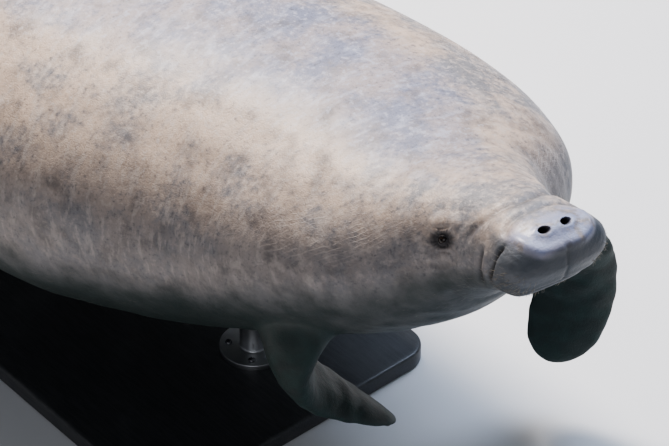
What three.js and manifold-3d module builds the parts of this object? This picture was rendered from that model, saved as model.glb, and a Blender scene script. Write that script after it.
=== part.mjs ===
// A life-size adult West Indian manatee, swimming with its snout raised to breathe, held over a flat base by
// two rods. Millimetres, +Z up. The animal faces -Y and its left side is +X. The origin is the middle of the
// base's underside.
import * as THREE from "three";
import { mergeVertices } from "three/addons/utils/BufferGeometryUtils.js";
import Module from "manifold-3d";

const wasm = await Module();
wasm.setup();

// Driving dimensions of the animal.
const BODY_LENGTH = 3100; // along the spine, from the front of the snout to the end of the paddle
const FACE_DEPTH = 46; // how far back the rounded front of the snout reaches full size
const FACE_FLATNESS = 2.5;
const CHIN_SETBACK = 45; // how far the front of the chin lies behind the front of the lip
const CHIN_REACH = 170; // station where that setback has faded out
const PADDLE_END = 330; // length of the rounded end of the tail paddle
const EYE_RADIUS = 11;
const EYE_SINK = 4.5; // the eyeball's middle below the bottom of its socket
const LID_THICKNESS = 3.6; // half of it
const LID_SHAPE = [0.87, 1.16]; // the ring of the lids, up and along the head, as a share of the ball
const LID_RISE = 3; // over the bottom of the socket
const NOSTRIL_WIDTH = 23;
const NOSTRIL_LENGTH = 15;
const NOSTRIL_DEPTH = 30;
const NOSTRIL_RIM = 2;
const NOSTRIL_SLANT = 30; // in degrees, back into the head
const JAW_LENGTH = 126; // station of the corner of the mouth
const GAP = 0.35; // between touching pieces

// The stand.
const TRUNK_STATION = 1350; // the station that stands over the origin
const TRUNK_HEIGHT = 540; // of the spine over the floor at that station
const BASE_LENGTH = 1150;
const BASE_WIDTH = 720;
const BASE_THICKNESS = 40;
const BASE_CORNER = 60;
const BASE_BEVEL = 6;
const ROD_RADIUS = 30;
const FOOT_RADIUS = 72; // the round plate at the foot of each rod
const FOOT_THICKNESS = 12;
const ROD_SPREAD = 340; // each rod stands this far fore or aft of the origin

// How finely the faceted surfaces are divided.
const HEAD_COLUMNS = 82;
const BODY_COLUMNS = 42;
const FLIPPER_COLUMNS = 20;
const ROUND_SIDES = 24;

// Cross-sections of the body: station along the spine, half width, rise and drop from the spine, squareness.
const SECTIONS = [
  [0, 92, 60, 72, 2.3],
  [60, 97, 66, 78, 2.35],
  [130, 97, 78, 86, 2.3],
  [215, 116, 98, 98, 2.2],
  [320, 182, 134, 140, 2.1],
  [450, 294, 180, 190, 2.05],
  [650, 374, 228, 250, 2.05],
  [900, 412, 266, 308, 2.1],
  [1250, 452, 292, 350, 2.15],
  [1620, 416, 276, 330, 2.15],
  [1950, 334, 226, 250, 2.1],
  [2220, 236, 152, 160, 2.05],
  [2420, 190, 92, 92, 2.1],
  [2600, 246, 54, 54, 2.2],
  [2790, 324, 36, 36, 2.2],
  [2940, 346, 26, 26, 2.2],
  [3100, 320, 18, 18, 2.2],
];

// Pitch, nose up, and yaw, nose to the animal's right, of the spine, in degrees.
const BENDS = [
  [0, 3.3, 8],
  [90, 16.3, 8],
  [190, 28.3, 8],
  [330, 30.3, 8],
  [500, 21.5, 14.5],
  [720, 11, 0.5],
  [1000, 7, -11],
  [1400, 4, -11.5],
  [1900, 4, -6],
  [2300, 8, -2],
  [2700, 8, 2],
  [3100, 4, 4],
];

// Ridges and furrows of the skin, the same on both sides. Height is negative for a furrow. Each runs through
// places given by station and by elevation in degrees, from -90 under the body through 0 at its side to 90 on
// its back, and fades out at its ends, except where it runs over the midline.
const FOLDS = [
  {
    name: "rim of the upper lip",
    height: 4.5,
    width: 11,
    through: [[6, 90], [9, 60], [18, 50], [42, 50], [70, 45]],
  },
  { name: "hollow before the nostrils", height: -2, width: 12, through: [[18, 90], [20, 74], [30, 62]] },
  { name: "cleft of the upper lip", height: -3.5, width: 8, through: [[6, 90], [1, 90], [1, -90], [6, -90]] },
  {
    name: "crease behind the lip pad",
    height: -11,
    width: 9,
    through: [[50, 50], [58, 38], [66, 22], [73, 6], [92, -11], [116, -28]],
  },
  { name: "edge of the lip pad", height: 3.5, width: 11, through: [[50, 26], [56, 8], [72, -12], [90, -24]] },
  {
    name: "fold on the cheek",
    height: -6,
    width: 9,
    through: [[106, 22], [114, 8], [126, -8], [140, -26], [152, -40]],
  },
  { name: "cheek before the fold", height: 4, width: 10, through: [[92, 14], [102, 0], [118, -16]] },
  {
    name: "furrow over the bridge",
    height: -5,
    width: 10,
    through: [[112, 90], [120, 68], [130, 46], [146, 28], [158, 8]],
  },
  {
    name: "furrow behind the nostrils",
    height: -4.5,
    width: 9,
    through: [[84, 90], [84, 64], [76, 48], [64, 40]],
  },
  { name: "brow", height: 5, width: 14, through: [[165, 30], [196, 34], [240, 27]] },
  {
    name: "pouch under the eye",
    height: -3.5,
    width: 9,
    through: [[176, 4], [190, -4], [216, -9], [256, -2]],
  },
  {
    name: "second pouch under the eye",
    height: -2.5,
    width: 9,
    through: [[182, -12], [212, -18], [262, -12]],
  },
  { name: "throat fold", height: -4, width: 11, through: [[205, -90], [200, -64], [180, -44]] },
  { name: "second throat fold", height: -5, width: 14, through: [[275, -90], [268, -60], [244, -34]] },
  {
    name: "first fold of the neck",
    height: -7,
    width: 20,
    through: [[352, 90], [356, 30], [350, -20], [345, -90]],
  },
  {
    name: "second fold of the neck",
    height: -8,
    width: 24,
    through: [[440, 70], [446, 20], [440, -25], [425, -90]],
  },
];
const FOLD_FADE = 0.22; // share of a fold's length over which each end fades
const FOLDS_END = 600; // no fold lies behind this station

// The places of the right and left eye and nostril, by station and elevation.
const EYE_PLACE = [208, 14.5];
const NOSTRIL_PLACE = [34, 79.3];

// Soft swellings, the same on both sides: height, negative for a hollow, radius and place.
const SWELLINGS = [
  { name: "side of the upper lip pad", height: 7, radius: 40, at: [34, 4] },
  { name: "lower lip pad", height: 5, radius: 30, at: [48, -62] },
  { name: "cheek", height: 6, radius: 50, at: [170, -34] },
  { name: "temple", height: 6, radius: 60, at: [262, 44] },
  { name: "socket of the eye", height: -4, radius: 15, at: EYE_PLACE },
];

// Height of the closed mouth over the spine, by station.
const MOUTH_LINE = [
  [-60, -42],
  [33, -45],
  [80, -49],
  [126, -42],
];
const MOUTH_FURROW = 9; // its depth
const MOUTH_FURROW_WIDTH = 8;
const LIP_DROOP = 6; // how much lower the sides of the upper lip's edge hang than its middle

// The shoulder's distance from the midline, station and height over the spine.
const SHOULDER = [225, 590, -140];

// A flipper from root to tip: share of its length, place outward, forward and up from the shoulder, width
// from edge to edge, thickness, and the direction of its leading edge outward, forward and up.
const RIGHT_FLIPPER = [
  [0, -70, 0, 60, 190, 130, 0.1, 1, 0],
  [0.25, 25, 0, -20, 190, 100, 0.2, 1, -0.1],
  [0.5, 25, 5, -115, 180, 64, 0.37, 0.87, -0.2],
  [0.75, -50, 25, -210, 156, 42, 0.45, 0.85, 0],
  [1, -178, 66, -326, 120, 22, 0.5, 0.75, 0.35],
];
const LEFT_FLIPPER = [
  [0, -70, 0, 60, 186, 130, 0.1, 1, 0],
  [0.25, 75, 25, -10, 184, 100, 0.4, 0.9, 0.1],
  [0.5, 150, 35, -115, 168, 64, 0.66, 0.75, 0.1],
  [0.75, 164, 30, -250, 158, 42, 0.66, 0.75, 0.1],
  [1, 130, 5, -392, 140, 22, 0.66, 0.75, 0],
];
const TIP_START = 0.8; // share of a flipper's length where its rounded tip begins
const NAILS = [44, 68, 92, 116]; // their places round the tip's section, in degrees from the leading edge
const NAIL_PLACE = 0.955;
const NAIL_SIZE = [8, 12, 4]; // half width, half length, half thickness

const rad = THREE.MathUtils.degToRad;
const column = (table, i) => table.map((row) => row[i]);

// A natural cubic spline through the points, as a function.
function spline(xs, ys) {
  const n = xs.length;
  const bend = new Array(n).fill(0);
  const lower = new Array(n).fill(0);
  for (let i = 1; i < n - 1; i++) {
    const share = (xs[i] - xs[i - 1]) / (xs[i + 1] - xs[i - 1]);
    const pivot = share * bend[i - 1] + 2;
    const before = (ys[i] - ys[i - 1]) / (xs[i] - xs[i - 1]);
    const turn = (ys[i + 1] - ys[i]) / (xs[i + 1] - xs[i]) - before;
    bend[i] = (share - 1) / pivot;
    lower[i] = ((6 * turn) / (xs[i + 1] - xs[i - 1]) - share * lower[i - 1]) / pivot;
  }
  bend[n - 1] = 0;
  for (let i = n - 2; i >= 0; i--) bend[i] = bend[i] * bend[i + 1] + lower[i];
  return (x) => {
    let k = 0;
    while (k < n - 2 && x > xs[k + 1]) k++;
    const h = xs[k + 1] - xs[k];
    const a = (xs[k + 1] - x) / h;
    const b = (x - xs[k]) / h;
    const curved = ((a ** 3 - a) * bend[k] + (b ** 3 - b) * bend[k + 1]) * h * h;
    return a * ys[k] + b * ys[k + 1] + curved / 6;
  };
}

const stations = column(SECTIONS, 0);
const [halfWidth, rise, drop, squareness] = [1, 2, 3, 4].map((i) => spline(stations, column(SECTIONS, i)));
const bendStations = column(BENDS, 0);
const [pitch, yaw] = [1, 2].map((i) => spline(bendStations, column(BENDS, i)));
const mouthHeight = spline(column(MOUTH_LINE, 0), column(MOUTH_LINE, 1));

// The spine as a list of points a step apart, moved so that the trunk station stands over the origin.
const SPINE_STEP = 5;
function spineDirection(s) {
  const [turn, dip] = [rad(yaw(s)), rad(pitch(s))];
  const level = Math.cos(dip);
  return new THREE.Vector3(Math.sin(turn) * level, Math.cos(turn) * level, -Math.sin(dip));
}
const spinePoints = [new THREE.Vector3()];
for (let s = 0; s < BODY_LENGTH + 100; s += SPINE_STEP)
  spinePoints.push(spineDirection(s + SPINE_STEP / 2).multiplyScalar(SPINE_STEP).add(spinePoints.at(-1)));
const shift = new THREE.Vector3(0, 0, TRUNK_HEIGHT).sub(spinePoints[TRUNK_STATION / SPINE_STEP]);

// Carries a point of the straightened animal (left, station, up) to its place in the pose.
function posed(point) {
  const s = Math.max(0, point.y);
  const k = Math.min(spinePoints.length - 2, s / SPINE_STEP);
  const i = Math.floor(k);
  const on = spinePoints[i].clone().lerp(spinePoints[i + 1], k - i).add(shift);
  const back = spineDirection(s);
  const left = new THREE.Vector3(Math.cos(rad(yaw(s))), -Math.sin(rad(yaw(s))), 0);
  const up = new THREE.Vector3().crossVectors(left, back);
  on.addScaledVector(back, Math.min(0, point.y));
  return on.addScaledVector(left, point.x).addScaledVector(up, point.z);
}

const power = (value, exponent) => Math.sign(value) * Math.abs(value) ** exponent;
const hump = (distance, width) => Math.exp(-((distance / width) ** 2));

// A smooth fall from 1 to 0 as x goes from start to end.
const fall = (x, start, end) => 1 - THREE.MathUtils.smoothstep(x, start, end);

// A point of the straightened animal's plain body, at a station and an angle round it from its left side.
function bodyPoint(s, angle) {
  const near = 1 - Math.min(FACE_DEPTH, Math.max(0, s)) / FACE_DEPTH;
  const front = (1 - near ** FACE_FLATNESS) ** (1 / FACE_FLATNESS);
  const into = Math.max(0, (s - (BODY_LENGTH - PADDLE_END)) / PADDLE_END);
  const back = Math.sqrt(Math.max(0, 1 - into ** 2.2));
  const e = 2 / squareness(s);
  const up = Math.sin(angle);
  const x = halfWidth(s) * front * back * power(Math.cos(angle), e);
  const z = (up > 0 ? rise(s) : drop(s)) * front * Math.sqrt(back) * power(up, e);
  const setback = CHIN_SETBACK * (Math.max(0, -z) / 75) ** 1.5 * fall(s, 0, CHIN_REACH);
  return new THREE.Vector3(x, s + setback, z);
}

// The direction out of the plain body. Behind the face it lies in the section, which keeps the cuts flat.
function outOfBody(s, angle) {
  const step = 0.5;
  if (s < 0.01) return new THREE.Vector3(0, -1, 0);
  const along = bodyPoint(s + step, angle).sub(bodyPoint(Math.max(0, s - step), angle));
  const round = bodyPoint(s, angle + 0.01).sub(bodyPoint(s, angle - 0.01));
  const out = round.cross(along).negate().normalize();
  out.y *= fall(s, 150, 260);
  return out.normalize();
}

// The folds' courses through the straightened animal, on its left side.
const courses = FOLDS.map(({ through }) => {
  const points = through.map(([s, elevation]) => bodyPoint(s, rad(elevation)));
  return new THREE.CatmullRomCurve3(points).getPoints(6 * points.length);
});

// A fold's share of its full height at a point.
function foldAt({ width, through }, course, point) {
  const nearest = new THREE.Vector3();
  const line = new THREE.Line3();
  let least = Infinity;
  let along = 0;
  for (let i = 1; i < course.length; i++) {
    line.set(course[i - 1], course[i]).closestPointToPoint(point, true, nearest);
    const distance = nearest.distanceTo(point);
    if (distance >= least) continue;
    least = distance;
    along = (i - 1 + line.closestPointToPointParameter(point, true)) / (course.length - 1);
  }
  const startFade = Math.abs(through[0][1]) < 90 ? 1 - fall(along, 0, FOLD_FADE) : 1;
  const endFade = Math.abs(through.at(-1)[1]) < 90 ? fall(along, 1 - FOLD_FADE, 1) : 1;
  return hump(least, width) * startFade * endFade;
}

// How far the edge of the upper lip hangs: less in the middle, more at its sides, and not at its corners.
function lipSag(x, s) {
  return LIP_DROOP * ((x / 80) ** 2 - 0.5) * fall(s, 45, 100);
}

// How far the skin stands out from the plain body at a point of it.
function relief(point) {
  const side = new THREE.Vector3(Math.abs(point.x), point.y, point.z);
  let height = 0;
  if (side.y > FOLDS_END) return height;
  FOLDS.forEach((fold, i) => {
    height += fold.height * foldAt(fold, courses[i], side);
  });
  for (const { height: most, radius, at } of SWELLINGS)
    height += most * hump(side.distanceTo(bodyPoint(at[0], rad(at[1]))), radius);
  const fromMouth = side.z - mouthHeight(Math.min(side.y, JAW_LENGTH)) + lipSag(side.x, side.y);
  const mouth = hump(fromMouth, MOUTH_FURROW_WIDTH) * fall(side.y, JAW_LENGTH - 30, JAW_LENGTH + 4);
  return height - MOUTH_FURROW * mouth;
}

// A point of the skin in the pose, moved out by a distance.
function skin(s, angle, out = 0) {
  const plain = bodyPoint(s, angle);
  return posed(plain.clone().addScaledVector(outOfBody(s, angle), relief(plain) + out));
}

// A closed geometry over rings of equal count, its ends closed round a middle point.
function loft(rings, middles) {
  const count = rings[0].length;
  const ends = middles ?? [rings[0], rings.at(-1)].map(middleOf);
  const points = [...rings.flat(), ...ends];
  const first = rings.length * count;
  const index = [];
  for (let j = 0; j < count; j++) {
    const next = (j + 1) % count;
    for (let i = 0; i + 1 < rings.length; i++) {
      const [a, b, c, d] = [i * count + j, i * count + next, (i + 1) * count + next, (i + 1) * count + j];
      index.push(a, b, c, a, c, d);
    }
    index.push(first, next, j, first + 1, first - count + j, first - count + next);
  }
  const geometry = new THREE.BufferGeometry().setFromPoints(points);
  geometry.setIndex(volumeOf(points, index) < 0 ? index.reverse() : index);
  return geometry;
}

const middleOf = (ring) =>
  ring.reduce((sum, point) => sum.add(point), new THREE.Vector3()).divideScalar(ring.length);

function volumeOf(points, index) {
  let volume = 0;
  for (let i = 0; i < index.length; i += 3) {
    const [a, b, c] = [0, 1, 2].map((k) => points[index[i + k]]);
    volume += a.dot(b.clone().cross(c)) / 6;
  }
  return volume;
}

// A closed geometry as a solid for joining and cutting, and back again.
function solidOf(geometry) {
  const plain = geometry.clone();
  plain.deleteAttribute("normal");
  plain.deleteAttribute("uv");
  const merged = mergeVertices(plain);
  const mesh = new wasm.Mesh({
    numProp: 3,
    vertProperties: new Float32Array(merged.attributes.position.array),
    triVerts: new Uint32Array(merged.index.array),
  });
  return new wasm.Manifold(mesh);
}

function geometryOf(solid) {
  const largest = solid.decompose().sort((a, b) => b.volume() - a.volume())[0];
  const { vertProperties, triVerts } = largest.getMesh();
  const geometry = new THREE.BufferGeometry();
  geometry.setAttribute("position", new THREE.BufferAttribute(vertProperties, 3));
  geometry.setIndex(new THREE.BufferAttribute(triVerts, 1));
  return geometry;
}

const group = new THREE.Group();
function addPiece(name, geometry, [color, roughness, metalness]) {
  geometry.computeVertexNormals();
  const mesh = new THREE.Mesh(geometry, new THREE.MeshStandardMaterial({ color, roughness, metalness }));
  mesh.name = name;
  group.add(mesh);
}
const SKIN = [0x8d8784, 0.55, 0];
const FLIPPER_SKIN = [0x4a5f60, 0.55, 0];
const EYE = [0x14110f, 0.12, 0];
const BASE_FINISH = [0x33363a, 0.5, 0];
const ROD_FINISH = [0xa9adb0, 0.3, 1];

// Stations of the rings of a part, with the ends moved in by half a gap.
function spread(from, to, spacing) {
  const steps = Math.max(1, Math.round((to - from) / spacing));
  return Array.from({ length: steps + 1 }, (_, i) => from + ((to - from) * i) / steps);
}
function bodyRings(places, columns, out = 0) {
  const turns = Array.from({ length: columns }, (_, j) => (2 * Math.PI * j) / columns);
  return places.map((s) => turns.map((turn) => skin(s, turn, out)));
}
const snoutStations = Array.from({ length: 8 }, (_, i) => {
  const first = 0.12;
  return FACE_DEPTH * (1 - Math.cos(first + (i / 8) * (Math.PI / 2 - first)));
});
const tailStations = Array.from({ length: 10 }, (_, i) => {
  const turn = ((i + 1) / 10.3) * (Math.PI / 2);
  return BODY_LENGTH - PADDLE_END * (1 - Math.sin(turn));
});

// A block under the line of the mouth, moved out by a distance, that parts the jaw from the head.
function jawBlock(out) {
  const [front, floor, reach, slant] = [-60, -160, 130, 34];
  const outline = new THREE.Shape();
  outline.moveTo(front, mouthHeight(front) + out);
  for (const s of [-20, 0, 20, 40, 60, 80, 100, 115]) outline.lineTo(s, mouthHeight(s) + out);
  outline.lineTo(JAW_LENGTH + out, mouthHeight(JAW_LENGTH) + out);
  outline.lineTo(JAW_LENGTH + slant + out, floor);
  outline.lineTo(front, floor);
  const block = new THREE.ExtrudeGeometry(outline, { depth: 2 * reach, steps: 13, bevelEnabled: false });
  const places = block.attributes.position;
  const flipped = new THREE.Vector3();
  for (let i = 0; i < places.count; i++) {
    flipped.set(places.getZ(i) - reach, places.getX(i), places.getY(i));
    if (flipped.z > floor) flipped.z -= lipSag(flipped.x, flipped.y);
    const place = posed(flipped);
    places.setXYZ(i, place.x, place.y, place.z);
  }
  return solidOf(block);
}

// Where a small form sits on the skin: its x axis runs outward round the body, y forward and z out of it.
function seat(s, elevation, side) {
  const angle = side > 0 ? rad(elevation) : Math.PI - rad(elevation);
  const at = skin(s, angle);
  const forward = skin(s - 4, angle).sub(skin(s + 4, angle)).normalize();
  const round = skin(s, angle - side * 0.04).sub(skin(s, angle + side * 0.04)).normalize();
  const out = new THREE.Vector3().crossVectors(round, forward).multiplyScalar(side).normalize();
  const x = new THREE.Vector3().crossVectors(forward, out).normalize();
  return new THREE.Matrix4().makeBasis(x, forward, out).setPosition(at);
}
const placedBy = (matrix, geometry) => solidOf(geometry.applyMatrix4(matrix));

function head() {
  const places = [...snoutStations, ...spread(FACE_DEPTH, 240, 9), ...spread(258, CUTS[0] - GAP / 2, 20)];
  const rings = bodyRings(places, HEAD_COLUMNS);
  let whole = solidOf(loft(rings, [skin(0, 0), middleOf(rings.at(-1))]));
  for (const side of [-1, 1]) {
    const eye = seat(...EYE_PLACE, side);
    const lids = new THREE.TorusGeometry(EYE_RADIUS, LID_THICKNESS, 8, 20).scale(...LID_SHAPE, 1);
    lids.translate(0, 0, LID_RISE);
    const socket = new THREE.SphereGeometry(EYE_RADIUS + GAP, 16, 10).translate(0, 0, -EYE_SINK);
    const nostril = seat(...NOSTRIL_PLACE, side);
    const [width, length] = [NOSTRIL_WIDTH / 2, NOSTRIL_LENGTH / 2];
    const rim = new THREE.TorusGeometry(1, 0.3, 7, 16).scale(width + 2, length + 2, NOSTRIL_RIM / 0.3);
    const pit = new THREE.SphereGeometry(1, 14, 8).scale(width, length, NOSTRIL_DEPTH);
    pit.rotateX(rad(-NOSTRIL_SLANT));
    whole = whole.add(placedBy(eye, lids)).subtract(placedBy(eye, socket));
    whole = whole.add(placedBy(nostril, rim)).subtract(placedBy(nostril, pit));
  }
  addPiece("lower_jaw", geometryOf(whole.intersect(jawBlock(0))), SKIN);
  addPiece("head", geometryOf(whole.subtract(jawBlock(GAP))), SKIN);
}

function eyes() {
  for (const [side, name] of [[-1, "eye_right"], [1, "eye_left"]]) {
    const ball = new THREE.SphereGeometry(EYE_RADIUS, 16, 10).translate(0, 0, -EYE_SINK);
    addPiece(name, geometryOf(placedBy(seat(...EYE_PLACE, side), ball)), EYE);
  }
}

// The rest of the body, from the neck back. Each part ends at a cut across the spine.
const CUTS = [340, 462, 940, 1700, 2330];
const BODY_PARTS = [
  ["neck", 30],
  ["chest", 48],
  ["belly", 85],
  ["tail_stock", 75],
];
function trunk() {
  BODY_PARTS.forEach(([name, spacing], i) => {
    const places = spread(CUTS[i] + GAP / 2, CUTS[i + 1] - GAP / 2, spacing);
    addPiece(name, loft(bodyRings(places, BODY_COLUMNS)), SKIN);
  });
  const paddle = [...spread(CUTS.at(-1) + GAP / 2, BODY_LENGTH - PADDLE_END, 62), ...tailStations];
  addPiece("tail_paddle", loft(bodyRings(paddle, BODY_COLUMNS)), SKIN);
}

// The outside of neck, chest and belly moved out by the gap, which cuts what meets it.
function trunkCutter() {
  const behind = 2000;
  const chest = spread(CUTS[1] + 48, CUTS[2], 48);
  const places = [...spread(CUTS[0], CUTS[1], 30), ...chest, ...spread(CUTS[2] + 85, behind, 85)];
  return solidOf(loft(bodyRings(places, BODY_COLUMNS, 2 * GAP)));
}

// The places of a flipper's section from root to tip, and its skin in the pose.
function flipperSurface(rows, side) {
  const shares = column(rows, 0);
  const curves = [1, 2, 3, 4, 5, 6, 7, 8].map((i) => spline(shares, column(rows, i)));
  const [outward, forward, up, width, thickness, ...lead] = curves;
  const root = posed(new THREE.Vector3(side * SHOULDER[0], SHOULDER[1], SHOULDER[2]));
  const middle = (t) => new THREE.Vector3(outward(t), forward(t), up(t));
  return (t, angle) => {
    const along = middle(t + 0.001).sub(middle(t - 0.001)).normalize();
    const edge = new THREE.Vector3(...lead.map((f) => f(t)));
    edge.addScaledVector(along, -edge.dot(along)).normalize();
    const face = new THREE.Vector3().crossVectors(along, edge);
    const tip = Math.max(0, (t - TIP_START) / (1 - TIP_START));
    const close = Math.sqrt(Math.max(0, 1 - tip ** 2.4));
    const across = (width(t) / 2) * close * Math.cos(angle);
    const half = (thickness(t) / 2) * close ** 0.7 * (1 + 0.25 * Math.cos(angle));
    const through = half * power(Math.sin(angle), 1.15);
    const at = middle(t).addScaledVector(edge, across).addScaledVector(face, through);
    return new THREE.Vector3(side * at.x, -at.y, at.z).add(root);
  };
}

function flipper(name, rows, side, cutter) {
  const surface = flipperSurface(rows, side);
  const shaft = spread(0, 0.86, 0.86 / 11);
  const tip = Array.from({ length: 6 }, (_, i) => 0.86 + 0.14 * Math.sin(((i + 1) / 6) * 0.49 * Math.PI));
  const rings = [...shaft, ...tip].map((t) =>
    Array.from({ length: FLIPPER_COLUMNS }, (_, j) => surface(t, (2 * Math.PI * j) / FLIPPER_COLUMNS)),
  );
  let whole = solidOf(loft(rings));
  for (const degrees of NAILS) {
    const at = surface(NAIL_PLACE, rad(degrees));
    const toTip = surface(NAIL_PLACE + 0.02, rad(degrees)).sub(surface(NAIL_PLACE - 0.02, rad(degrees)));
    const round = surface(NAIL_PLACE, rad(degrees + 8)).sub(surface(NAIL_PLACE, rad(degrees - 8)));
    toTip.normalize();
    const out = new THREE.Vector3().crossVectors(round, toTip).normalize();
    const x = new THREE.Vector3().crossVectors(toTip, out);
    const nail = new THREE.SphereGeometry(1, 10, 6).scale(...NAIL_SIZE);
    whole = whole.add(placedBy(new THREE.Matrix4().makeBasis(x, toTip, out).setPosition(at), nail));
  }
  addPiece(name, geometryOf(whole.subtract(cutter)), FLIPPER_SKIN);
}

function stand(cutter) {
  const [w, l, r] = [BASE_WIDTH / 2 - BASE_BEVEL, BASE_LENGTH / 2 - BASE_BEVEL, BASE_CORNER - BASE_BEVEL];
  const outline = new THREE.Shape();
  outline.absarc(w - r, l - r, r, 0, Math.PI / 2);
  outline.absarc(r - w, l - r, r, Math.PI / 2, Math.PI);
  outline.absarc(r - w, r - l, r, Math.PI, 1.5 * Math.PI);
  outline.absarc(w - r, r - l, r, 1.5 * Math.PI, 2 * Math.PI);
  const plate = new THREE.ExtrudeGeometry(outline, {
    depth: BASE_THICKNESS - 2 * BASE_BEVEL,
    bevelThickness: BASE_BEVEL,
    bevelSize: BASE_BEVEL,
    bevelSegments: 1,
    curveSegments: 5,
  }).translate(0, 0, BASE_BEVEL);
  addPiece("stand_base", geometryOf(solidOf(plate)), BASE_FINISH);
  for (const [name, y] of [["stand_rod_front", -ROD_SPREAD], ["stand_rod_back", ROD_SPREAD]]) {
    const profile = [
      [0, 0],
      [FOOT_RADIUS, 0],
      [FOOT_RADIUS, FOOT_THICKNESS - 2],
      [FOOT_RADIUS - 2, FOOT_THICKNESS],
      [ROD_RADIUS + 5, FOOT_THICKNESS],
      [ROD_RADIUS, FOOT_THICKNESS + 5],
      [ROD_RADIUS, TRUNK_HEIGHT - BASE_THICKNESS],
      [0, TRUNK_HEIGHT - BASE_THICKNESS],
    ];
    const rod = new THREE.LatheGeometry(profile.map(([x, z]) => new THREE.Vector2(x, z)), ROUND_SIDES);
    rod.rotateX(Math.PI / 2).translate(spineOver(y).x, y, BASE_THICKNESS + GAP);
    addPiece(name, geometryOf(solidOf(rod).subtract(cutter)), ROD_FINISH);
  }
}

// The spine's point over a place fore or aft of the origin.
function spineOver(y) {
  const near = (point) => Math.abs(point.y + shift.y - y);
  return spinePoints.reduce((best, point) => (near(point) < near(best) ? point : best)).clone().add(shift);
}

head();
eyes();
trunk();
const cutter = trunkCutter();
flipper("flipper_right", RIGHT_FLIPPER, -1, cutter);
flipper("flipper_left", LEFT_FLIPPER, 1, cutter);
stand(cutter);

export default group;
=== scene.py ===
import math

import bmesh
import bpy
import numpy as np
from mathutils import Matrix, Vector
from mathutils.kdtree import KDTree


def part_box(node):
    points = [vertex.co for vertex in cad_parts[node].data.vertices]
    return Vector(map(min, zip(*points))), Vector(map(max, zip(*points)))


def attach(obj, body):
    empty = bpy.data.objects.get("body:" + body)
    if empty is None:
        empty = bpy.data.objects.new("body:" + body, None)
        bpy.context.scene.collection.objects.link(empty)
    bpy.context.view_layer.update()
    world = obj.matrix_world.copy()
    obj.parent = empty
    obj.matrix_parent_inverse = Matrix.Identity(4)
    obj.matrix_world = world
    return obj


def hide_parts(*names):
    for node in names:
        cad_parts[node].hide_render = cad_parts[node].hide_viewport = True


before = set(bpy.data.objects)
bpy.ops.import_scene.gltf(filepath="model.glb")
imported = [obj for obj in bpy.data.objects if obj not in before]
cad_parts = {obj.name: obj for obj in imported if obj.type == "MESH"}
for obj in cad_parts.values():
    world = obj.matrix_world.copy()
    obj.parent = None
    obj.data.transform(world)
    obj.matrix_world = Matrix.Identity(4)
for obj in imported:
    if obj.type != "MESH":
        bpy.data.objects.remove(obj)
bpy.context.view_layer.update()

# Driving dimensions of the animal.
BODY_LENGTH = 3.1  # along the spine
FACE_DEPTH = 0.046  # how far back the rounded front of the snout reaches full size
FACE_FLATNESS = 2.5
CHIN_SETBACK = 0.045  # how far the front of the chin lies behind the front of the lip
CHIN_REACH = 0.17
PADDLE_END = 0.33  # length of the rounded end of the tail paddle
TRUNK_STATION = 1.35  # the station that stands over the origin
TRUNK_HEIGHT = 0.54
EYE_PLACE = (0.208, 14.5)  # station and elevation in degrees
EYE_RADIUS = 0.011
EYE_SINK = 0.0045  # the eyeball's middle below the bottom of its socket
EYE_OPENING = (0.0062, 0.0094)  # half height and half length
SOCKET_SIZE = (0.0125, 0.017)  # half height and half length of the ring of wrinkles round it
SOCKET_SHADE = (0.0125, 0.021)  # half height and half length of the painted shade in the hollow
LID_THICKNESS = 0.0011
LID_DEPTH = 0.0034  # how far the skin in the opening lies below the ball's front
LID_REACH = (0.034, 0.052)  # where the lids' forms begin to fade, and where they end
NOSTRIL_PLACE = (0.034, 79.3)
NOSTRIL_OPENING = (0.0115, 0.0075)  # half width and half length
NOSTRIL_DEPTH = 0.026
NOSTRIL_RIM = 0.0009
NOSTRIL_REACH = 0.045
JAW_LENGTH = 0.126  # station of the corner of the mouth

# Cross-sections of the body: station along the spine, half width, rise and drop from the spine, squareness.
SECTIONS = [
    (0.000, 0.092, 0.060, 0.072, 2.3),
    (0.060, 0.097, 0.066, 0.078, 2.35),
    (0.130, 0.097, 0.078, 0.086, 2.3),
    (0.215, 0.116, 0.098, 0.098, 2.2),
    (0.320, 0.182, 0.134, 0.140, 2.1),
    (0.450, 0.294, 0.180, 0.190, 2.05),
    (0.650, 0.374, 0.228, 0.250, 2.05),
    (0.900, 0.412, 0.266, 0.308, 2.1),
    (1.250, 0.452, 0.292, 0.350, 2.15),
    (1.620, 0.416, 0.276, 0.330, 2.15),
    (1.950, 0.334, 0.226, 0.250, 2.1),
    (2.220, 0.236, 0.152, 0.160, 2.05),
    (2.420, 0.190, 0.092, 0.092, 2.1),
    (2.600, 0.246, 0.054, 0.054, 2.2),
    (2.790, 0.324, 0.036, 0.036, 2.2),
    (2.940, 0.346, 0.026, 0.026, 2.2),
    (3.100, 0.320, 0.018, 0.018, 2.2),
]

# Pitch, nose up, and yaw, nose to the animal's right, of the spine, in degrees, by station.
BENDS = [
    (0.00, 3.3, 8),
    (0.09, 16.3, 8),
    (0.19, 28.3, 8),
    (0.33, 30.3, 8),
    (0.50, 21.5, 14.5),
    (0.72, 11, 0.5),
    (1.00, 7, -11),
    (1.40, 4, -11.5),
    (1.90, 4, -6),
    (2.30, 8, -2),
    (2.70, 8, 2),
    (3.10, 4, 4),
]

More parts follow.
